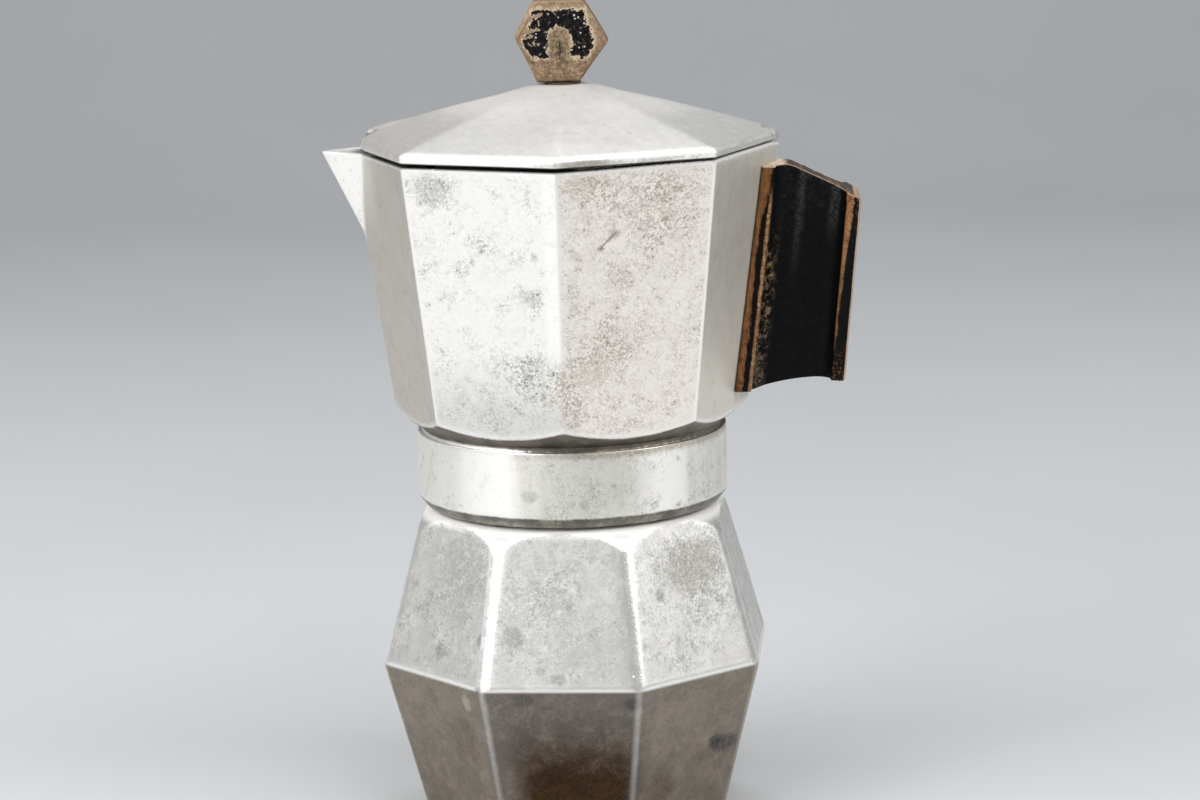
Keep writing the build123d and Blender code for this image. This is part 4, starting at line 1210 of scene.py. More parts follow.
def black_skin(g, m, flecks):
    """Black skin, with painted grey sheen in upright streaks and grey dust on the upper web."""
    patchy = band(g.noise(1.3, 4, 0.6, 0, 8), 0.45, 0.7)
    black = blend(patchy, (0.002, 0.002, 0.0022), (0.0055, 0.005, 0.005))
    # painted sheen: grey upright streaks on the web and beside the outer flange
    sheen = band(abs(m.inner - 7.6 + m.wander), 1.6, 0.2) * band(m.z, HANDLE_TOP - 36, HANDLE_TOP - 8)
    near_flange = band(abs(m.flange + 3.0 + m.wander), 1.8, 0.4)
    near_flange = near_flange * band(m.z, HANDLE_TOP - 22, HANDLE_TOP - 12)
    dust = band(m.z, HANDLE_TOP - 20, HANDLE_TOP - 4) * band(m.inner, 1.5, 3.5)
    dust = dust * band(m.flange, -0.5, -3.0) * band(m.blotch, 0.48, 0.62) * 0.6
    sheen_and_dust = most(most(sheen, near_flange), dust)
    return blend(sheen_and_dust * flecks * 0.75, black, (0.06, 0.063, 0.062))


def orange_filler(g, m, tone):
    """Filler on the worn faces, in upright runs, sooty towards the foot."""
    run = g.noise(1.6, 5, 0.68, 0.3, 27, g.join(m.x, m.y, m.z * 0.18))
    run = band(run * 0.65 + tone * 0.35, 0.38, 0.62)
    orange = blend(run, (0.115, 0.046, 0.018), (0.27, 0.122, 0.042))
    orange = blend(band(m.crumbs, 0.6, 0.75) * 0.5, orange, DARK_FILLER)
    sooty = band(m.z, HANDLE_TOP - 34, HANDLE_FOOT + 8) * band(m.crumbs + m.ragged * 0.3, 0.48, 0.62)
    return blend(sooty * 0.75, orange, DARK_FILLER)


def tan_filler(m, tone):
    """Filler in the web's patches, grey towards the foot."""
    tan = blend(band(tone, 0.4, 0.62), (0.06, 0.036, 0.02), (0.29, 0.195, 0.105))
    grey = blend(band(m.crumbs, 0.4, 0.6), (0.03, 0.024, 0.019), (0.15, 0.125, 0.1))
    return blend(band(m.z, HANDLE_TOP - 30, HANDLE_FOOT + 6) * 0.75, tan, grey)


def bakelite(name):
    """Black bakelite, worn to its brown filler along the flanges' edges and on the seat side, with painted
    sheen and painted highlights.
    """
    g = Graph(name)
    m = handle_measures(g)
    lip, ribs = rib_wear(m)
    line, crumbled = flange_wear(m)
    worn = most(ribs, line)
    patches = web_patches(m)
    # scuffs on the outer flange's broad face, mostly beside its edges
    scuffs = band(m.outer, -0.35, -0.15) * band(m.half + m.ragged * 9, 6.5, 10.5)
    scuffs = scuffs * band(m.crumbs + m.ragged * 0.4, 0.5, 0.62)
    # the top, worn bare and painted cream as a highlight beside the pot, and crumbly farther out
    top = g.attribute("top")
    bare_top_and_highlight = top * band(m.inner + m.wander, 3.6, 1.6)
    # worn edges, also painted light as an edge highlight
    rim = band(g.attribute("edge") + m.ragged * 0.7, 0.6, 0.85) * flip(top) * 0.85
    _, flecks = g.cells(0.45, 21)
    flecks = band(m.crumbs, 0.4, 0.66) * 0.5 + flecks * 0.6
    tone = g.noise(1.5, 5, 0.68, 0.3, 12)

    g.colour = black_skin(g, m, flecks)
    g.coat(tan_filler(m, tone), patches * (0.35 + flecks * 0.9))
    g.coat(orange_filler(g, m, tone), worn)
    scuffed = band(m.crumbs + m.ragged * 0.3, 0.38, 0.68)
    g.coat(blend(scuffed, (0.02, 0.015, 0.012), (0.3, 0.22, 0.165)), scuffs, 0.8)
    broken = band(m.crumbs, 0.45, 0.7)
    g.coat(blend(broken, (0.045, 0.024, 0.013), (0.17, 0.095, 0.05)), crumbled, 0.8)
    crumbly = band(m.crumbs + m.ragged * 0.4, 0.46, 0.66)
    g.coat(blend(crumbly, (0.012, 0.009, 0.007), (0.2, 0.135, 0.085)), top, 0.9)
    # painted highlight along the inner lip and, fainter, along the outer flange's line
    g.coat((0.58, 0.38, 0.22), most(lip, line * 0.5), band(m.crumbs, 0.45, 0.6), 0.55)
    g.coat((0.52, 0.36, 0.24), rim)
    g.coat(blend(band(tone, 0.4, 0.65), (0.55, 0.42, 0.3), (0.88, 0.76, 0.6)), bare_top_and_highlight)
    missing = most(most(worn, crumbled), most(bare_top_and_highlight, rim))
    missing = most(missing, patches * 0.8)
    g.bump((m.ragged, 0.20), (m.crumbs, 0.14), (missing, -0.14), (m.streaks, 0.08))
    g.shader.inputs["Specular IOR Level"].default_value = 0.10
    return g.finish(0.34 + missing * 0.26 + m.crumbs * 0.22)


# flakes missing from the black skin's left leg: both ends (x, z) from the knob's middle, half width
KNOB_FLAKES = (
    (-9.6, 4.5, -5.2, 6.4, 0.62),
    (-9.8, 2.0, -5.7, 2.6, 0.56),
    (-9.4, 0.6, -6.4, 1.0, 0.46),
    (-5.6, 5.0, -5.4, 2.4, 0.32),
)
KNOB_DEPTH = KNOB_HALF / MM


def knob_face(x, z):
    """Point on the knob's front face, in millimetres, from its middle."""
    return (KNOB_CENTRE.x / MM + x, (KNOB_CENTRE.y - KNOB_HALF) / MM, KNOB_CENTRE.z / MM + z)


def knob_tan(g, mottled, fine):
    """Bare bakelite: tan with pink, dark and pale mottling."""
    g.colour = blend(band(mottled, 0.36, 0.66), (0.125, 0.08, 0.043), (0.285, 0.198, 0.112))
    g.coat((0.32, 0.195, 0.125), band(g.noise(4.5, 4, 0.6, 0.3, 11), 0.5, 0.68), 0.45)
    g.coat((0.06, 0.036, 0.02), band(fine, 0.5, 0.66), 0.75)
    g.coat((0.46, 0.365, 0.235), band(fine, 0.46, 0.34), 0.7)


def knob_edge(g, y, mottled):
    """The border, a paler bevel with a red-brown line inside it, and the sides. Returns the line."""
    border = g.attribute("border")
    g.coat((0.34, 0.235, 0.145), band(border, 0.935, 0.965), 0.45)
    g.coat((0.16, 0.095, 0.055), band(abs(y), KNOB_DEPTH - 0.9, KNOB_DEPTH - 1.6), 0.7)
    line = band(border, 0.84, 0.88) * band(border, 0.945, 0.92)
    g.coat((0.24, 0.115, 0.075), line, band(mottled, 0.42, 0.6), 0.5)
    return line


def horseshoe(g, x, z):
    """How far inside the horseshoe of black skin a place lies, and how far from its arch's middle.

    It is flat-topped, widest at its middle, round an inner arch, and its legs are open downwards.
    """
    sideways = x + 0.5
    under = least(z, 0.0)
    width = 8.7 - most(z, 0.0) * 0.32 - under * under * 0.1
    outer = least(width - abs(sideways), 7.5 - z)
    arch_z = most(z - 0.3, 0.0)
    from_arch = root(sideways * sideways + arch_z * arch_z)
    ragged = (g.noise(2.0, 3, 0.6, 0.5, 7) - 0.5) * 3.4 + (g.noise(0.85, 3, 0.7, 0, 17) - 0.5) * 2.4
    depth = least(least(outer, from_arch - 3.2), z + 4.5) + ragged
    holes = band(g.noise(1.7, 3, 0.6, 0.5, 31), 0.6, 0.66)
    for k, (x0, z0, x1, z1, half) in enumerate(KNOB_FLAKES):
        holes = most(holes, g.stroke(knob_face(x0, z0), knob_face(x1, z1), half, 1.7, 5 + k))
    return least(depth, 1.2 - holes * 2.2), from_arch


def knob_crack(g, x, z, face, fine):
    """A short upright crack below the middle, with dirt round it."""
    wobble = (g.noise(1.6, 3, 0.6, 0, 9) - 0.5) * 0.9
    crack = band(abs(x + wobble + 0.3), 0.26, 0.06) * band(z, -0.4, -0.9) * band(z, -5.2, -4.2) * face
    place = (KNOB_CENTRE.x / MM - 0.2, KNOB_CENTRE.y / MM - 4, KNOB_CENTRE.z / MM - 3.8)
    dirt = g.spot(place, (2.4, 3.0, 1.7), 0.6, 0.8, 1.5, 3)
    g.coat((0.04, 0.026, 0.016), dirt, band(fine, 0.46, 0.62), 0.9)
    g.coat((0.03, 0.018, 0.012), crack, 0.9)
    return crack


def knob_bakelite(name):
    """Tan bakelite with a horseshoe of black skin left on each face, flaked to a ragged outline."""
    g = Graph(name)
    x, y, z = g.split(g.vector("SUBTRACT", g.place, KNOB_CENTRE * 1000))
    mottled = g.noise(3.2, 6, 0.70, 0.4, 2)
    fine = g.noise(0.8, 4, 0.72, 0, 4)
    knob_tan(g, mottled, fine)
    line = knob_edge(g, y, mottled)
    face = band(abs(y), KNOB_DEPTH - 1.0, KNOB_DEPTH - 0.7)
    depth, from_arch = horseshoe(g, x, z)
    skin = band(depth, -0.05, 0.15) * face
    halo = band(depth, -1.0, -0.2) * face
    pale = band(depth, -3.2, -0.6) * band(mottled, 0.62, 0.46) * band(z, -5.5, -3) * face
    g.coat((0.42, 0.325, 0.205), pale, 0.36)
    g.coat((0.6, 0.48, 0.34), halo, 0.75)
    worn_tone = blend(band(fine, 0.4, 0.58), (0.235, 0.17, 0.098), (0.07, 0.044, 0.024))
    g.coat(worn_tone, band(from_arch, 3.4, 2.2) * band(z, -5.5, -3.5) * face, 0.65)
    crack = knob_crack(g, x, z, face, fine)
    far, chance = g.cells(1.25, 3)
    g.coat(blend(band(chance, 0.1, 0.6), (0.009, 0.005, 0.005), (0.0035, 0.0035, 0.004)), skin)
    # painted glints on the chips of black skin
    painted_glints = band(far, 0.29, 0.12) * band(chance, 0.26, 0.32) * skin * (0.35 + chance * 0.75)
    g.coat((0.66, 0.62, 0.6), painted_glints, 0.9)
    # painted shade: a dark line along the knob's foot where it meets the lid
    foot = (knob_low.z - KNOB_CENTRE.z) / MM
    g.coat((0.035, 0.02, 0.013), band(z, foot + 0.7, foot + 0.3), 0.9)
    blisters = flip(far) * skin
    g.bump((skin, 0.20), (fine, 0.10), (blisters, 0.45), (crack, -0.4), (mottled, 0.16), (line, -0.12))
    g.put(g.shader.inputs["Specular IOR Level"], 0.35 - skin * 0.22)
    return g.finish(0.55 - skin * 0.36 + mottled * 0.1)


def rubber(name, colour, dark):
    """Aged rubber, clouded with a darker tone."""
    g = Graph(name)
    clouds = g.noise(5, 4, 0.6, 0.2, 3)
    fine = g.noise(0.5, 3, 0.6, 0, 4)
    g.colour = blend(band(clouds, 0.4, 0.7), colour, dark)
    g.bump((fine, 0.04), (clouds, 0.05))
    return g.finish(0.5 + fine * 0.2)


# ------------------------------------------------------------------ pieces
def point_values(obj, name, value_at):
    """Stores a number at every vertex of a mesh, from a function of its place."""
    layer = obj.data.attributes.new(name, "FLOAT", "POINT")
    layer.data.foreach_set("value", [value_at(v.co) for v in obj.data.vertices])


def cut(obj, low, high):
    """Takes a plain box out of a mesh."""
    bm = bmesh.new()
    bmesh.ops.create_cube(bm, size=1)
    for v in bm.verts:
        v.co = Vector(mix(low[i], high[i], v.co[i] + 0.5) for i in range(3))
    take_away(obj, bm)


DRILL_SIDES = 48


def drill(obj, start, end, radius):
    """Takes a round hole, from start to end, out of a mesh."""
    bm = bmesh.new()
    length = (end - start).length
    bmesh.ops.create_cone(
        bm, cap_ends=True, segments=DRILL_SIDES, radius1=radius, radius2=radius, depth=length,
    )
    turn = (end - start).to_track_quat("Z", "Y").to_matrix().to_4x4()
    turn.translation = (start + end) / 2
    bm.transform(turn)
    take_away(obj, bm)


def take_away(obj, bm):
    """Cuts a closed mesh out of an object's mesh."""
    mesh = bpy.data.meshes.new("cutter")
    bm.to_mesh(mesh)
    bm.free()
    cutter = bpy.data.objects.new("cutter", mesh)
    bpy.context.scene.collection.objects.link(cutter)
    change = obj.modifiers.new("cut", "BOOLEAN")
    change.operation = "DIFFERENCE"
    change.solver = "EXACT"
    change.object = cutter
    evaluated = obj.evaluated_get(bpy.context.evaluated_depsgraph_get())
    result = bpy.data.meshes.new_from_object(evaluated)
    old = obj.data
    obj.modifiers.clear()
    obj.data = result
    bpy.data.objects.remove(cutter)
    bpy.data.meshes.remove(mesh)
    bpy.data.meshes.remove(old)


def add_skin(obj, loops):
    """Adds a closed solid to a mesh: a skin over outlines of equal count, with flat ends."""
    bm = bmesh.new()
    bm.from_mesh(obj.data)
    rows = [[bm.verts.new(p) for p in loop] for loop in loops]
    faces = [bm.faces.new(rows[0]), bm.faces.new(list(reversed(rows[-1])))]
    count = len(rows[0])
    for a, b in zip(rows, rows[1:]):
        for k in range(count):
            n = (k + 1) % count
            faces.append(bm.faces.new((a[n], a[k], b[k], b[n])))
    bmesh.ops.recalc_face_normals(bm, faces=faces)
    bm.to_mesh(obj.data)
    bm.free()


def shade_by_angle(obj, degrees):
    """Smooth shading, with edges sharper than the angle kept crisp."""
    obj.data.shade_smooth()
    obj.data.set_sharp_from_angle(angle=math.radians(degrees))


HINGE = Vector(((pin_low.x + pin_high.x) / 2, 0, (pin_low.z + pin_high.z) / 2))
PIN_HALF = pin_high.y
LUG_R = 2.0 * MM
LUG_HALF = 2.5 * MM


def lug_outline(y):
    """Outline, at a distance y from the middle, of the hinge lug that fills the lid's slotted corner."""
    corner = RIM_R - 0.05 * MM - math.hypot(y, 0.25 * MM) * math.tan(EIGHTH / 2)
    rise = (lid_high.z - LID_EDGE_Z) / (RIM_R - LID_TOP_R)
    edge = LID_EDGE_Z - 0.15 * MM
    inset = 0.15 * MM if abs(y) > LUG_HALF - 0.03 * MM else 0.0
    radius = LUG_R - inset

    def top(x):
        """Just under the lid's slope, and within the round that turns inside the slot."""
        slope = edge + rise * (corner - x) - inset
        reach = HINGE.x - x
        return slope if reach <= 0 else min(slope, HINGE.z + math.sqrt(max(radius**2 - reach**2, 0)))

    points = [
        (collector_corner_r(RIM_Z, COLLECTOR_WALL) - 0.6 * MM, RIM_Z - 4 * MM),
        (corner - 2.0 * MM, RIM_Z - 3.0 * MM),
        (corner - 1.2 * MM, RIM_Z - 0.3 * MM),
        (corner - 0.3 * MM, lid_low.z - 0.1 * MM),
        (corner - inset, lid_low.z + 0.25 * MM),
        (corner - inset, edge - 0.6 * MM),
        (corner - 0.12 * MM - inset, edge - 0.2 * MM),
        (corner - 0.45 * MM, top(corner - 0.45 * MM) - 0.05 * MM),
    ]
    for reach in (0.0, 0.4, 0.75, 0.92, 1.0):
        x = HINGE.x - radius * reach
        points.append((x, top(x)))
    points.append((HINGE.x - radius, RIM_Z - 0.5 * MM))
    return [Vector((x, y, z)) for x, z in points]


# edges sharper than these angles, in degrees, stay crisp
CAST_EDGE = 34
BAKELITE_EDGE = 40

boiler = build_boiler()
# the safety valve sits square on a rear facet, round the middle of its washer
valve_low, valve_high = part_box("valve_washer")
facet_angle = BOILER_TURN + EIGHTH * 1.5
facet_tilt = math.atan(UPPER_SLOPE * COS_HALF)
valve_axis = Vector((
    math.cos(facet_angle) * math.cos(facet_tilt),
    math.sin(facet_angle) * math.cos(facet_tilt),
    math.sin(facet_tilt),
))
valve_seat = (valve_low + valve_high) / 2
VALVE_HOLE_R = 3.6 * MM
drill(boiler, valve_seat - valve_axis * 14 * MM, valve_seat + valve_axis * 4 * MM, VALVE_HOLE_R)
shade_by_angle(boiler, CAST_EDGE)

SPRING_R = 1.85 * MM
SPRING_WIRE_R = 0.28 * MM
SPRING_TURNS = 6.5
SPRING_END_TURNS = 0.75
SPRING_END_PITCH = 0.62 * MM
SPRING_STEPS = 24  # rings in a turn
SPRING_SIDES = 10
spring_node = nodes["valve_spring"]
spring_reach = [
    (spring_node.matrix_world @ v.co - valve_seat).dot(valve_axis) for v in spring_node.data.vertices
]
spring_start = valve_seat + valve_axis * (min(spring_reach) + SPRING_WIRE_R)
spring_end = valve_seat + valve_axis * (max(spring_reach) - SPRING_WIRE_R)


def spring_rise(turns, length):
    """Distance along the coil spring after some turns; its end turns lie almost closed."""
    closed = SPRING_END_TURNS * SPRING_END_PITCH
    if turns < SPRING_END_TURNS:
        return turns * SPRING_END_PITCH
    if turns > SPRING_TURNS - SPRING_END_TURNS:
        return length - (SPRING_TURNS - turns) * SPRING_END_PITCH
    share = (turns - SPRING_END_TURNS) / (SPRING_TURNS - 2 * SPRING_END_TURNS)
    return mix(closed, length - closed, share)


def build_valve_spring():
    """The coil spring between the valve's plunger and the front of its body."""
    run = spring_end - spring_start
    side = valve_axis.orthogonal().normalized()
    across = valve_axis.cross(side)
    steps = int(SPRING_TURNS * SPRING_STEPS)
    rings = []
    for k in range(steps + 1):
        turns = SPRING_TURNS * k / steps
        angle = 2 * math.pi * turns
        outward = side * math.cos(angle) + across * math.sin(angle)
        middle = spring_start + outward * SPRING_R + valve_axis * spring_rise(turns, run.length)
        rings.append([
            middle + (outward * math.cos(t) + valve_axis * math.sin(t)) * SPRING_WIRE_R
            for t in [2 * math.pi * n / SPRING_SIDES for n in range(SPRING_SIDES)]
        ])
    return ring_mesh("valve_coil", rings)


valve_coil = build_valve_spring()

collector = build_collector()
LUG_STATIONS = (-2.5, -2.44, -1.8, -1.1, -0.5, 0, 0.5, 1.1, 1.8, 2.44, 2.5)
add_skin(collector, [lug_outline(y * MM) for y in LUG_STATIONS])
shade_by_angle(collector, CAST_EDGE)

lid = build_lid()
slot_half = LUG_HALF + 0.06 * MM
cut(
    lid,
    (HINGE.x - LUG_R - 0.1 * MM, -slot_half, HINGE.z - 6 * MM),
    (HINGE.x + 8 * MM, slot_half, HINGE.z + 8 * MM),
)
# two blocks inside the lid's corner hold the hinge pin beside the slot
block = [
    (RIM_R - 7 * MM, lid_low.z + 0.05 * MM), (RIM_R - 4.0 * MM, lid_low.z + 0.05 * MM),
    (RIM_R - 4.0 * MM, LID_EDGE_Z), (RIM_R - 7 * MM, LID_EDGE_Z),
]
for side in (-1, 1):
    near, far = sorted((side * slot_half, side * PIN_HALF))
    add_skin(lid, [[Vector((x, y, z)) for x, z in block] for y in (near, far)])
shade_by_angle(lid, CAST_EDGE)

knob = build_knob()
shade_by_angle(knob, BAKELITE_EDGE)
socket_foot = Vector((0, 0, knob_low.z - 1 * MM))
socket_end = Vector((0, 0, knob_low.z + SOCKET_DEPTH))
drill(knob, socket_foot, socket_end, SOCKET_R + 0.03 * MM)

handle = build_handle()
drill(
    handle,
    Vector((HANDLE_OUTER_TOP.x - 7.2 * MM, 0, SCREW_Z)),
    Vector((HANDLE_OUTER_TOP.x + 4 * MM, 0, SCREW_Z)),
    SCREW_HOLE_R + 0.05 * MM,
)
shade_by_angle(handle, BAKELITE_EDGE)


def handle_edge(spot):
    """How near a point of the handle is to its outer and top edges, 0 to 1."""
    side = smoothstep(HANDLE_HALF - 1.3 * MM, HANDLE_HALF - 0.5 * MM, abs(spot.y))
    at_outer = smoothstep(0.9 * MM, 0.2 * MM, abs(spot.x - handle_outer_x(spot.z))) * side
    at_top = smoothstep(0.9 * MM, 0.15 * MM, handle_top_z(spot.x) - spot.z)
    return max(at_outer, at_top)


def handle_top(spot):
    return smoothstep(0.35 * MM, 0.02 * MM, handle_top_z(spot.x) - spot.z)


point_values(handle, "edge", handle_edge)
point_values(handle, "top", handle_top)


def knob_border(spot):
    """Share of the way from the knob's middle to its six-sided edge."""
    x, z = spot.x - KNOB_CENTRE.x, knob_level(spot.z - KNOB_CENTRE.z)
    return math.hypot(x, z) / hexagon(math.atan2(z, x), KNOB_R, 0.2 * MM)


point_values(knob, "border", knob_border)

# ------------------------------------------------------------------ finishes
def boiler_bright(spot):
    """Polished strips and painted highlights of the boiler: shoulder, upper ridges, belt and a thin line
    on each lower ridge.
    """
    angle, z = math.atan2(spot.y, spot.x), spot.z
    if z > SHOULDER_Z + 0.5 * MM:
        return 0.6
    faceted = octagon(angle, boiler_corner_r(z), BOILER_TURN, 1.6 * MM)
    reach = 1.15 * MM if z > BELT_Z + 0.3 * MM else 0.45 * MM
    belt = 0.85 * math.exp(-(((z - BELT_Z - 0.3 * MM) / reach) ** 2))
    if z > BELT_Z:
        return max(belt, smoothstep(-0.42 * MM, 0.16 * MM, faceted - boiler_turned_r(z)))
    off = (angle - BOILER_TURN) % EIGHTH
    off = min(off, EIGHTH - off) * FOOT_R
    return max(belt, mix(0.34, 0.20, smoothstep(BELT_Z, 0, z)) * smoothstep(1.2 * MM, 0.05 * MM, off))


def collector_bright(spot):
    """Worn bright lines and painted highlights of the collector: rim, ridges, the facets' rounded feet and
    the collar's burr.
    """
    angle, z = math.atan2(spot.y, spot.x), spot.z
    if z > RIM_Z + 0.05 * MM:
        return 0.0
    rim = smoothstep(RIM_Z - 0.9 * MM, RIM_Z - 0.3 * MM, z)
    burr = smoothstep(0.7 * MM, 0.15 * MM, abs(z - COLLAR_TOP_Z))
    burr *= mix(0.35, 1.0, smoothstep(math.radians(-100), math.radians(-118), angle))
    off = angle % EIGHTH
    off = min(off, EIGHTH - off) * FACET_FOOT_R
    ridge = 0.7 * smoothstep(0.9 * MM, 0.2 * MM, off) if z > FACET_FOOT_Z else 0
    if abs(angle + math.pi / 2) < EIGHTH / 2:
        # the ridge towards the viewer is dull below its upper half
        ridge *= mix(0.25, 0.6, smoothstep(118 * MM, 128 * MM, z))
    foot = 0.5 * smoothstep(1.2 * MM, 0.2 * MM, abs(z - facet_edge_z(angle) - 0.4 * MM))
    return max(rim, burr, ridge, foot)


def collector_groove(spot):
    """The turned groove under the facets, dark with grime and painted shade under their overhang."""
    z = spot.z
    angle = math.atan2(spot.y, spot.x)
    if z < COLLAR_TOP_Z - 0.2 * MM:
        return 0.0
    return smoothstep(0.25 * MM, -0.15 * MM, z - facet_edge_z(angle))


def collector_seam(spot):
    """The rim's top, inside its outer edge, where grime gathers under the lid and where the gap's shade is
    painted dark.
    """
    angle, z = math.atan2(spot.y, spot.x), spot.z
    if z > RIM_Z + 0.05 * MM:
        return 0.0
    inside = collector_outer_r(angle, z) - math.hypot(spot.x, spot.y)
    beside_spout = smoothstep(math.radians(14), math.radians(17), math.pi - abs(angle))
    return (
        smoothstep(RIM_Z - 1.2 * MM, RIM_Z - 0.5 * MM, z) * smoothstep(0.3 * MM, 0.7 * MM, inside)
        * beside_spout
    )


RIM_LIFT = 0.4 * MM


def rim_lift(spot):
    """How far the worn rim stands up towards the lid beside the handle, where the gap is thin."""
    angle = math.atan2(spot.y, spot.x)
    if abs(spot.y) < LUG_HALF + 0.5 * MM and spot.x > 0:
        return 0.0
    along = (
        smoothstep(math.radians(-84), math.radians(-52), angle)
        * smoothstep(math.radians(70), math.radians(40), angle)
    )
    return (
        RIM_LIFT * along * smoothstep(RIM_Z - 1.6 * MM, RIM_Z - 0.1 * MM, spot.z)
        * (spot.z < RIM_Z + 0.05 * MM)
    )


point_values(boiler, "polish_and_highlight", boiler_bright)
point_values(collector, "polish_and_highlight", collector_bright)
point_values(collector, "groove", collector_groove)
point_values(collector, "seam", collector_seam)
for vertex in collector.data.vertices:
    vertex.co.z += rim_lift(vertex.co)


def boiler_cover(g):
    """How thickly grit lies on the boiler: everywhere but on its polished strips and painted highlights.
    """
    return flip(g.attribute("polish_and_highlight")) * 0.95 - 0.05


# smooth stains on the boiler's lower facets: azimuth, height, half width, half height, amount, shade
LOWER_MARKS = (
    (-122.9, 37.6, 1.5, 2.3, 0.60, (0.47, 0.46, 0.38)),
    (-33, 21.6, 4.4, 2.5, 0.62, (0.050, 0.050, 0.056)),
    (-37, 22.6, 2.0, 2.0, 0.62, (0.045, 0.045, 0.050)),
    (-72.2, 38.4, 2.2, 1.7, 0.55, (0.050, 0.048, 0.045)),
    (-116.9, 42.3, 0.8, 0.7, 0.80, (0.010, 0.010, 0.010)),
    (-104, 39.5, 2.8, 1.6, 0.42, (0.055, 0.052, 0.046)),
    (-128, 27, 5, 7, 0.35, (0.11, 0.085, 0.065)),
    (-60, 12, 5, 6, 0.45, (0.085, 0.050, 0.028)),
    (-131, 36, 4, 5, 0.32, (0.30, 0.27, 0.23)),
    (-47, 33, 6, 5, 0.30, (0.27, 0.235, 0.19)),
    (95, 20, 8, 9, 0.45, (0.07, 0.045, 0.028)),
)


def lower_facets(g, grit, mottle):
    """The lower facets, dull and warm, with painted shade darkest on the side towards the viewer. Returns
    them.
    """
    _, _, z = g.split()
    lower = band(z, 42.3, 41.3)
    # painted shade: the panel towards the viewer gets the darkest tone
    front = band(abs(azimuth(g) + 93), 24.5, 22.5)
    warm = blend(front, (0.19, 0.148, 0.106), (0.068, 0.049, 0.036))
    warm = blend(band(z, 36, 10) * 0.5, warm, (0.085, 0.048, 0.025))
    warm = blend(band(mottle + grit * 0.45, 0.62, 0.92) * 0.5, warm, (0.36, 0.305, 0.245))
    warm = blend(band(mottle - grit * 0.35, 0.4, 0.18) * 0.48, warm, (0.05, 0.037, 0.028))
    g.coat(warm, lower, 0.88)
    for row in LOWER_MARKS:
        centre, radii, amount, shade = stain(boiler_outer_r, *row)
        patch = g.spot(centre, radii, 0.45, 0.6, 2.2, row[0])
        smudge(g, patch * band(z, 43.0, 42.4), amount, shade, grit)
    return lower


def boiler_paint(g, rough, grit, mottle):
    """The boiler's tones: painted shade on the upper panels, dull warm lower facets with painted shade,
    heat stain from the foot, polished strips with painted highlights.
    """
    polish_and_highlight = g.attribute("polish_and_highlight")
    _, _, z = g.split()
    az = azimuth(g)
    upper = band(z, 41.4, 42.6)
    centre_panel = band(abs(az + 93), 23.5, 21.5)
    # painted shade: the upper panels are greyed between the strips, the middle panel most
    g.coat((0.51, 0.515, 0.505), flip(polish_and_highlight), upper, 0.34 + centre_panel * 0.12)
    lower = lower_facets(g, grit, mottle)
    # heat stain that rises from the foot
    wander = (mottle - 0.5) * 13
    heat = band(z + wander, 40, 17) * band(abs(az + 89), 26, 14)
    heat_tone = mottle * 0.65 + grit * 0.35
    heat_brown = blend(band(heat_tone, 0.36, 0.68), (0.022, 0.009, 0.002), (0.054, 0.026, 0.008))
    g.coat(heat_brown, heat, 0.95)
    unevenness = mottle * 0.7 + grit * 0.3 - 0.5
    strip = band(polish_and_highlight + unevenness * 0.7, 0.18, 0.8)
    soft_strip = polish_and_highlight * (0.85 + unevenness * 0.8)
    near_belt = band(z, 45.0, 43.4)
    strip = flip(near_belt) * strip + near_belt * soft_strip
    g.coat(BRIGHT_METAL, strip)
    rough = rough - polish_and_highlight * 0.1 + heat * 0.15 + lower * 0.08
    shoulder = band(z, 78, 80) * band(z, 82, 81.2)
    rough = rough + shoulder * 0.2
    g.put(g.shader.inputs["Specular IOR Level"], 0.5 - heat * 0.44)
    return rough, 0.8 - shoulder * 0.72 - heat * 0.76


def collector_cover(g):
    """How thickly grit lies on the collector: most on the front, least on its ridges."""
    az = azimuth(g)
    _, _, z = g.split()
    away = band(abs(az + 90), 44.6, 46.0)
    facing = 0.16 + band(az, -91, -87) * 0.5
    low = (
        band(z, 131, 112) * band(z, 101, 102) * flip(band(az, -91, -87))
        * band(az, -128, -98, 0.35, 0.56)
    )
    behind = band(az, 44, 46) * 0.28
    cover = flip(away) * facing - away * 0.05 + low + behind
    collar = band(z, 100, 98)
    around = band(az, -115, -85) * band(az, -10, -35) * 0.34
    around = around - band(az, -104, -112) * band(az, -140, -128) * 0.45
    cover = flip(collar) * cover + collar * (0.15 + around)
    return cover - g.attribute("polish_and_highlight") * 0.5


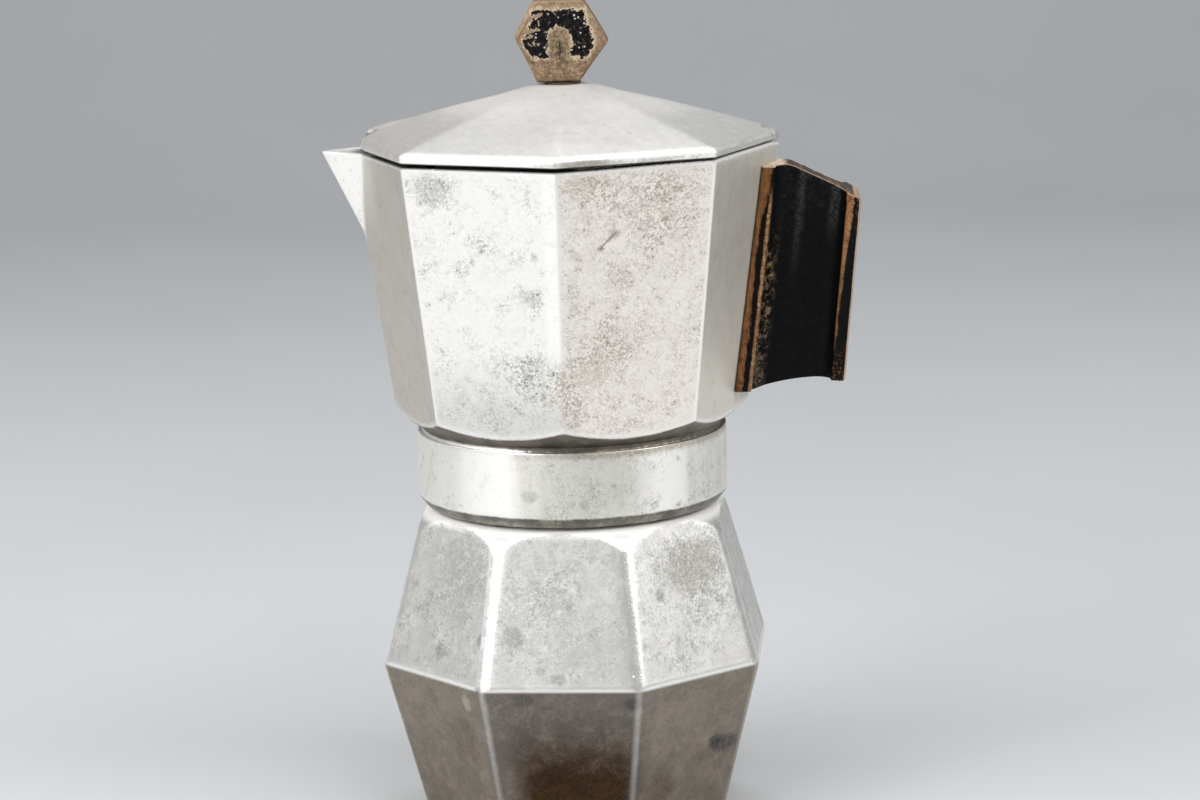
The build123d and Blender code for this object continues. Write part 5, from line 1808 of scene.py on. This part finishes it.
def facet_tones(g, grit, mottle):
    """Painted shade on the facets to the left and right, and tones of the spout and the front. Returns the
    first three.
    """
    signed = azimuth(g)
    az = abs(signed)
    x, y, z = g.split()
    above = band(z, 101.5, 102.5)
    left = band(az, 134.6, 135.4) * above
    beside_spout = band(az, 160, 167) * band(z, 148, 168)
    uneven_side = (mottle - 0.5) * 0.5
    side_tone = blend(beside_spout, (0.54, 0.492, 0.425), (0.66, 0.62, 0.545))
    # painted shade on the facets beyond the left-hand ridges
    g.coat(side_tone, left, 0.8 + uneven_side)
    spout = band(root(x * x + y * y), 51.4, 52.4) * band(az, 165.8, 167.5)
    g.coat(BRIGHT_METAL, spout, 0.84)
    g.coat((0.46, 0.43, 0.375), spout, band(mottle + grit * 0.45, 0.8, 0.98), 0.55)
    right = band(az, 45.4, 44.6) * above
    right_tone = blend(band(z, 120, 150), (0.6, 0.56, 0.485), (0.41, 0.383, 0.328))
    # painted shade on the facets beyond the right-hand ridges, varying with height
    g.coat(right_tone, right, 0.76 + uneven_side)
    # the front facet's right-hand side is warm, with clean sparkles, and its left has painted shade low
    # down
    merging = (mottle - 0.44) * band(z, 132, 118) * 34
    warm_side = band(signed + merging, -92, -88) * band(signed, -44, -46)
    warm_side = warm_side * band(signed, -112, -100) * above
    g.coat((0.97, 0.8, 0.665), warm_side, 0.25)
    g.coat(BRIGHT_METAL, warm_side, band(mottle + grit * 0.6, 0.66, 0.44), 0.6)
    low = band(z, 128, 108) * above * band(signed, -88, -92) * band(signed, -136, -134)
    g.coat((0.54, 0.545, 0.51), low, 0.48)
    return left, right, spout


def groove_tone(g, mottle):
    """The groove under the facets, darkened with grime and painted shade. Returns it."""
    groove = g.attribute("groove")
    groove_grime_and_shade = blend(band(mottle, 0.4, 0.62), (0.075, 0.062, 0.048), (0.2, 0.17, 0.135))
    g.coat(groove_grime_and_shade, groove, 0.92)
    return groove


def collar_tones(g, grit, mottle):
    """The collar: soft upright strips of painted reflection, warmer than the facets, painted shade across
    its middle, tarnish and a chamfer dark with grime and painted shade.

    Returns the places with painted highlights.
    """
    az = azimuth(g)
    _, _, z = g.split()
    collar = band(z, 100.8, 100.2) * band(z, 84.0, 84.6)
    strips = band(g.noise(7, 3, 0.5, 0, 13, g.join(az, 0.0, z * 0.15)), 0.46, 0.62)
    # painted reflection: soft grey upright strips on the collar's left part
    g.coat((0.45, 0.44, 0.4), collar, strips, band(az, -128, -112), 0.2)
    g.coat((0.8, 0.72, 0.56), collar, 0.1)
    # painted shade across the collar's middle
    g.coat((0.55, 0.55, 0.49), collar, band(az, -112, -100) * band(az, -60, -72), 0.34)
    # painted highlights on the collar's left and right parts
    painted_gleam = collar * most(
        band(az, -136, -128) * band(az, -108, -114), band(az, -62, -54) * band(az, -38, -44)
    )
    g.coat(BRIGHT_METAL, painted_gleam, band(mottle, 0.66, 0.48), 0.9)
    wander = (mottle - 0.5) * 2.2
    tarnish = band(z + wander, 98.6, 100.2) * band(z, 101.4, 100.6) * band(az, -118, -80)
    g.coat((0.33, 0.27, 0.18), tarnish, 0.25 + grit * 0.5)
    # grime and painted shade on the collar's lower chamfer, which faces down
    chamfer_grime_and_shade = blend(band(mottle, 0.42, 0.66), (0.065, 0.055, 0.04), (0.3, 0.28, 0.225))
    chamfer_grime_and_shade = blend(band(grit, 0.4, 0.8) * 0.5, chamfer_grime_and_shade, (0.03, 0.025, 0.018))
    g.coat(chamfer_grime_and_shade, band(z + wander * 0.4, 84.5, 83.9), 0.9)
    return painted_gleam


def ridge_tones(g, grit, mottle):
    """Worn ridges brightened with painted highlights, and a painted highlight beside the front one.
    Returns how bright each place is.
    """
    x, y, z = g.split()
    polish_and_highlight = g.attribute("polish_and_highlight")
    ragged = polish_and_highlight + (mottle * 0.6 + grit * 0.4 - 0.5)
    g.coat(BRIGHT_METAL, band(ragged, 0.3, 0.75), 0.9)
    front_ridge_highlight = band(x, -4.2, -2.4) * band(x, 0.25, -0.15) * band(z, 124, 131) * band(y, 0, -1)
    front_ridge_highlight = front_ridge_highlight * band(z, 101.5, 102.5)
    g.coat(BRIGHT_METAL, front_ridge_highlight, band(mottle + grit * 0.3, 0.86, 0.62), 0.9)
    return polish_and_highlight


def collector_paint(g, rough, grit, mottle):
    """The collector's tones, from its facets down to its collar, and its small marks."""
    left, right, spout = facet_tones(g, grit, mottle)
    groove = groove_tone(g, mottle)
    painted_gleam = collar_tones(g, grit, mottle)
    polish_and_highlight = ridge_tones(g, grit, mottle)
    _, y, z = g.split()
    lug = band(z, RIM_Z / MM + 0.3, RIM_Z / MM + 0.6) * band(abs(y), 3.2, 2.9)
    g.coat((0.44, 0.43, 0.41), lug, 0.6)
    # grime and painted shade in the gap between the rim and the lid
    g.coat(SEAM_GRIME_AND_SHADE, g.attribute("seam"), band(azimuth(g), -38, -50, 0.35, 0.9))
    scratch_ends = [on_skin(collector_outer_r, *place) for place in ((-78.1, 153.6), (-73.3, 157.4))]
    g.coat((0.2, 0.175, 0.14), g.stroke(*scratch_ends, 0.3, 1.6, 5), 0.35 + grit * 0.5)
    rough = rough - polish_and_highlight * 0.12 + groove * 0.14 + (left + right) * 0.05 + painted_gleam * 0.1
    return rough, 0.8 - spout * 0.35 - right * 0.4


def lid_paint(g, rough, grit, mottle):
    """The lid's rim with painted highlights, a smudge on it, painted shade on its left slopes, painted
    shade in the hollow beside the nub over the spout with a painted highlight on its crest, and grime with
    painted shade along its lower edge.
    """
    az = azimuth(g)
    x, y, z = g.split()
    edge = LID_EDGE_Z / MM
    rim = band(z, edge + 1.05, edge + 0.15)
    # painted highlight: the rim's band on the front facets is painted bright
    front_rim_highlight = rim * band(az, -136.5, -134.5) * band(az, -43.5, -45.5)
    g.coat(BRIGHT_METAL, front_rim_highlight, 0.95)
    underlip = band(z, edge - 0.6, edge - 1.2) * band(az, -105, -72, 0.25, 1.0) * band(az, -42, -46)
    g.coat((0.45, 0.43, 0.385), underlip, band(mottle + grit * 0.3, 0.5, 0.8), 0.75)
    smudge = g.spot(on_rim(-82.5, edge - 1.3), (8.5, 5, 1.0), 0.5, 0.5, 1.6, 4)
    g.coat((0.3, 0.27, 0.23), smudge, 0.85)
    # painted shade: the slopes on the left are darker
    left_slope_shade = band(az, -134, -138)
    g.coat((0.6, 0.54, 0.51), left_slope_shade, 0.3)
    faint = g.noise(2.6, 6, 0.74, 0.4, 6, g.join(x + y * 0.5, (y - x * 0.5) * 0.6, z))
    g.coat((0.4, 0.39, 0.375), band(faint, 0.45, 0.7), 0.22)
    g.coat(BRIGHT_METAL, band(faint, 0.48, 0.3), 0.22)
    # painted highlight along the top of the rim on the right-hand slopes
    right_rim_highlight = (
        band(z, edge + 0.35, edge + 0.05) * band(z, edge - 0.9, edge - 0.5) * band(az, -45.5, -44)
    )
    g.coat(BRIGHT_METAL, right_rim_highlight, band(faint, 0.34, 0.52), 0.7)
    # painted shade in the hollow beside the nub
    nub_hollow_shade = g.spot((-49.2, -2.6, edge + 1.3), (2.6, 1.5, 1.2), 0.5, 0.5, 1.2, 9)
    g.coat((0.19, 0.155, 0.13), nub_hollow_shade, 0.75)
    # grime and painted shade along the lid's lower edge, in the gap over the rim
    edge_grime_and_shade = band(z, lid_low.z / MM + 0.4, lid_low.z / MM + 0.15) * band(az, -38, -50, 0.3, 1.0)
    g.coat(SEAM_GRIME_AND_SHADE, edge_grime_and_shade, 0.85)
    near_knob = band(root(x * x + y * y), 38, 20)
    g.coat((0.4, 0.392, 0.38), near_knob, 0.25)
    rough = rough + 0.08 + near_knob * 0.12 + edge_grime_and_shade * 0.2
    # painted highlight on the nub's edge
    nub_edge_highlight = g.spot((-49.6, 0.0, edge + 2.0), (1.4, 3.2, 0.5), 0.4, 0.3, 1.2, 11)
    g.coat(BRIGHT_METAL, nub_edge_highlight, 0.8)
    return rough, 0.62 - front_rim_highlight * 0.22 - near_knob * 0.56 - edge_grime_and_shade * 0.5


def on_rim(degrees, height):
    angle = math.radians(degrees)
    radius = octagon(angle, RIM_R) / MM
    return (radius * math.cos(angle), radius * math.sin(angle), height)


# stains: azimuth, height, half width, half height, amount and, for a smooth one, its shade
BOILER_STAINS = (
    (-38, 66, 9, 9, 1.5),
    (-42, 69, 9, 6, 0.62, (0.32, 0.295, 0.25)),
    (-48, 72, 9, 4, 0.8),
    (-133, 69, 9, 7, 0.6, (0.36, 0.355, 0.34)),
    (-131, 67, 8, 7, 0.7),
    (-129, 60, 3.6, 4.5, 0.55, (0.36, 0.355, 0.34)),
    (-107.7, 54.6, 2.6, 2.8, 0.75, (0.22, 0.215, 0.20)),
    (-136, 49, 2.0, 2.2, 0.8, (0.20, 0.195, 0.185)),
    (-118, 53.7, 1.3, 1.6, 0.75, (0.16, 0.15, 0.14)),
    (-93.6, 44.7, 1.8, 1.6, 0.75, (0.27, 0.25, 0.20)),
    (-99, 47, 1.3, 1.1, 0.6, (0.27, 0.25, 0.20)),
    (-58.5, 63.7, 1.5, 1.6, 0.75, (0.24, 0.23, 0.22)),
    (-91, 68, 3.4, 3.4, 1.0),
    (-100, 62, 6, 8, 0.35),
    (-86, 52, 4, 5, 0.35, (0.42, 0.42, 0.41)),
    (62, 68, 9, 7, 1.2),
    (128, 58, 8, 8, 1.0),
    (150, 66, 7, 6, 0.5, (0.36, 0.35, 0.33)),
)
COLLECTOR_STAINS = (
    (-127.4, 168, 4.6, 3.6, 0.42, (0.42, 0.415, 0.38)),
    (-82.8, 170, 5.5, 2.0, 0.4, (0.42, 0.40, 0.34)),
    (-99.5, 141.5, 2.4, 2.0, 0.35, (0.46, 0.45, 0.42)),
    (-80, 122, 5.0, 3.5, 0.3, (0.45, 0.43, 0.38)),
    (-127.4, 168, 5.5, 4.5, 1.1),
    (-80, 169, 7, 3.2, 1.2),
    (-60, 164, 8, 8, 0.8),
    (-126.3, 140.7, 2.4, 2.0, 0.9),
    (-99.5, 141.5, 3.0, 2.6, 0.9),
    (-97, 121, 7, 5, 1.4),
    (-78, 128, 7, 5, 0.7),
    (-87, 115, 3.6, 6, 1.0),
    (-112, 152, 6, 7, 0.3),
    (66, 160, 9, 8, 0.5),
    (112, 125, 12, 9, 0.5),
    (97, 166, 7, 5, 0.4),
    (-91.1, 170.6, 1.1, 0.9, 0.7, (0.30, 0.30, 0.29)),
    (-73.5, 157.2, 1.5, 1.1, 0.7, (0.30, 0.27, 0.23)),
    (-78.1, 153.6, 0.8, 0.8, 0.7, (0.22, 0.20, 0.17)),
    (-103.4, 89.9, 2.2, 1.4, 0.75, (0.45, 0.445, 0.43)),
    (-54, 86.5, 4, 1.8, 1.0),
    (-46, 88.5, 1.6, 1.4, 0.7, (0.45, 0.43, 0.40)),
    (-83.8, 87.8, 1.1, 1.2, 0.6, (0.33, 0.33, 0.32)),
)
boiler_stains = [stain(boiler_outer_r, *row) for row in BOILER_STAINS]
collector_stains = [stain(collector_outer_r, *row) for row in COLLECTOR_STAINS]
dress(boiler, cast_aluminium(
    "boiler_metal", 1.0, boiler_cover, boiler_stains, boiler_paint, grain=0.8, blotches=1.6,
))
dress(collector, cast_aluminium(
    "collector_metal", 4.0, collector_cover, collector_stains, collector_paint, grain=1.25, blotches=1.2,
))
dress(lid, cast_aluminium("lid_metal", 8.0, -0.25, (), lid_paint, (0.655, 0.646, 0.628), 0.45, 0.5))
dress(knob, knob_bakelite("knob_brown"))
dress(handle, bakelite("handle_black"))

FASTENERS = (
    "valve_plunger", "valve_spring", "hinge_pin", "handle_screw", "handle_washer", "knob_screw",
)
steel = simple_metal("plain_steel", (0.56, 0.55, 0.53), (0.33, 0.30, 0.27), 0.28)
dress(valve_coil, steel)
for material, names in (
    (
        simple_metal("dull_brass", (0.62, 0.44, 0.20), (0.36, 0.23, 0.10), 0.30),
        ("valve_body", "valve_nut", "valve_seat", "knob_insert"),
    ),
    (steel, FASTENERS),
    (
        simple_metal("spun_sheet", (0.72, 0.71, 0.70), (0.55, 0.54, 0.52), 0.28, True),
        ("funnel", "funnel_sieve", "filter_plate", "column_cap"),
    ),
    (cast_aluminium("column_metal", 12.0, 0.3), ("riser_column",)),
    (rubber("brown_washer", (0.075, 0.045, 0.030), (0.030, 0.018, 0.012)), ("knob_washer",)),
    (rubber("aged_gasket", (0.66, 0.60, 0.50), (0.45, 0.37, 0.28)), ("gasket",)),
    (rubber("red_washer", (0.36, 0.10, 0.06), (0.22, 0.06, 0.04)), ("valve_washer",)),
):
    for name in names:
        dress(nodes[name], material)

for piece, node, body, slot in (
    (boiler, "boiler", "boiler_unit", "boiler_cast"),
    (collector, "collector", "collector_unit", "collector_cast"),
    (lid, "lid", "lid_unit", "lid_cast"),
    (knob, "knob", "lid_unit", "knob_bakelite"),
    (handle, "handle", "collector_unit", "bakelite"),
    (valve_coil, "valve_spring", "boiler_unit", "fastener_steel"),
):
    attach(piece, body)
    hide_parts(node)
# the spring's length, and a copy of the coil's mesh for it alone
spring_length = (spring_end - spring_start).length + 2 * SPRING_WIRE_R
tuple(spring_end + valve_axis * SPRING_WIRE_R)
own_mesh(valve_coil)


# ------------------------------------------------------------------ floor, lights and camera
def floor_material():
    g = Graph("pale_floor")
    clouds = g.noise(180, 3, 0.5, 0, 1)
    g.colour = blend(clouds, (0.6, 0.62, 0.64), (0.66, 0.675, 0.69))
    g.bump((g.noise(2.5, 3, 0.6, 0, 2), 0.02))
    return g.finish(0.55 + clouds * 0.1)


FLOOR_FRONT = -3.0
FLOOR_BEND = 1.1
FLOOR_BEND_R = 0.8
FLOOR_HEIGHT = 3.2
FLOOR_HALF = 4.0
FLOOR_BEND_STEPS = 24


def build_floor():
    """A pale floor that curves up behind the object, as a paper sweep does."""
    profile = [(FLOOR_FRONT, 0.0), (FLOOR_BEND, 0.0)]
    for t in quarter(FLOOR_BEND_STEPS)[1:]:
        profile.append((FLOOR_BEND + FLOOR_BEND_R * math.sin(t), FLOOR_BEND_R * (1 - math.cos(t))))
    profile.append((FLOOR_BEND + FLOOR_BEND_R, FLOOR_HEIGHT))
    points = [Vector((x, y, z)) for x in (-FLOOR_HALF, FLOOR_HALF) for y, z in profile]
    count = len(profile)
    faces = [(k, k + 1, count + k + 1, count + k) for k in range(count - 1)]
    obj = mesh_object("floor_sweep", points, faces)
    dress(obj, floor_material())


LIGHT_AIM = Vector((0, 0, 0.11))
LIGHT_SIZE = 0.7
# square lights: name, place and watts
LIGHTS = (
    ("left_high", (-0.958, -0.553, 0.884), 8.0),
    ("left_front", (-0.728, -1.039, 0.572), 5.1),
    ("front_high", (-0.434, -0.752, 1.144), 1.6),
    ("right_high", (0.434, -0.752, 1.144), 6.0),
    ("right_side", (1.099, -0.40, 0.785), 8.8),
    ("rear", (0.0, 0.675, 1.279), 3.3),
    ("left_side", (-1.169, 0.0, 0.785), 3.5),
)
ROOM_GREY = (0.84, 0.84, 0.84)
ROOM_STRENGTH = 0.19


def build_lights():
    for name, place, power in LIGHTS:
        light = bpy.data.lights.new(name, "AREA")
        light.shape = "RECTANGLE"
        light.size = LIGHT_SIZE
        light.size_y = LIGHT_SIZE
        light.energy = power
        obj = bpy.data.objects.new(name, light)
        obj.location = place
        obj.rotation_euler = (LIGHT_AIM - Vector(place)).to_track_quat("-Z", "Y").to_euler()
        bpy.context.scene.collection.objects.link(obj)
    world = bpy.data.worlds.new("studio")
    world.use_nodes = True
    backdrop = world.node_tree.nodes["Background"]
    backdrop.inputs["Color"].default_value = ROOM_GREY + (1,)
    backdrop.inputs["Strength"].default_value = ROOM_STRENGTH
    bpy.context.scene.world = world


# the camera as fitted to the photo: turned round the pot, then aimed by yaw, pitch and roll
CAMERA_DISTANCE = 965.03 * MM
CAMERA_HEIGHT = COLLAR_TOP_Z + 188.53 * MM
CAMERA_TURN = math.radians(2.5655)
CAMERA_YAW = math.radians(0.4426)
CAMERA_PITCH = math.radians(10.7247)
CAMERA_ROLL = math.radians(-1.4365)
CAMERA_LENS = 113.618


CAMERA_SENSOR = 36


def build_camera():
    camera = bpy.data.cameras.new("camera")
    camera.lens = CAMERA_LENS
    camera.sensor_width = CAMERA_SENSOR
    obj = bpy.data.objects.new("camera", camera)
    bpy.context.scene.collection.objects.link(obj)
    forward = Vector((
        math.sin(CAMERA_YAW) * math.cos(CAMERA_PITCH),
        math.cos(CAMERA_YAW) * math.cos(CAMERA_PITCH),
        -math.sin(CAMERA_PITCH),
    ))
    right = Vector((math.cos(CAMERA_YAW), -math.sin(CAMERA_YAW), 0))
    up = right.cross(forward)
    cos_roll, sin_roll = math.cos(CAMERA_ROLL), math.sin(CAMERA_ROLL)
    right, up = right * cos_roll + up * sin_roll, up * cos_roll - right * sin_roll
    basis = Matrix((right, up, -forward)).transposed()
    basis = Matrix.Rotation(CAMERA_TURN, 3, "Z") @ basis
    place = at(CAMERA_TURN - math.pi / 2, CAMERA_DISTANCE, CAMERA_HEIGHT)
    obj.matrix_world = Matrix.Translation(place) @ basis.to_4x4()
    bpy.context.scene.camera = obj


build_floor()
build_lights()
build_camera()
bpy.context.scene.view_settings.view_transform = "Standard"
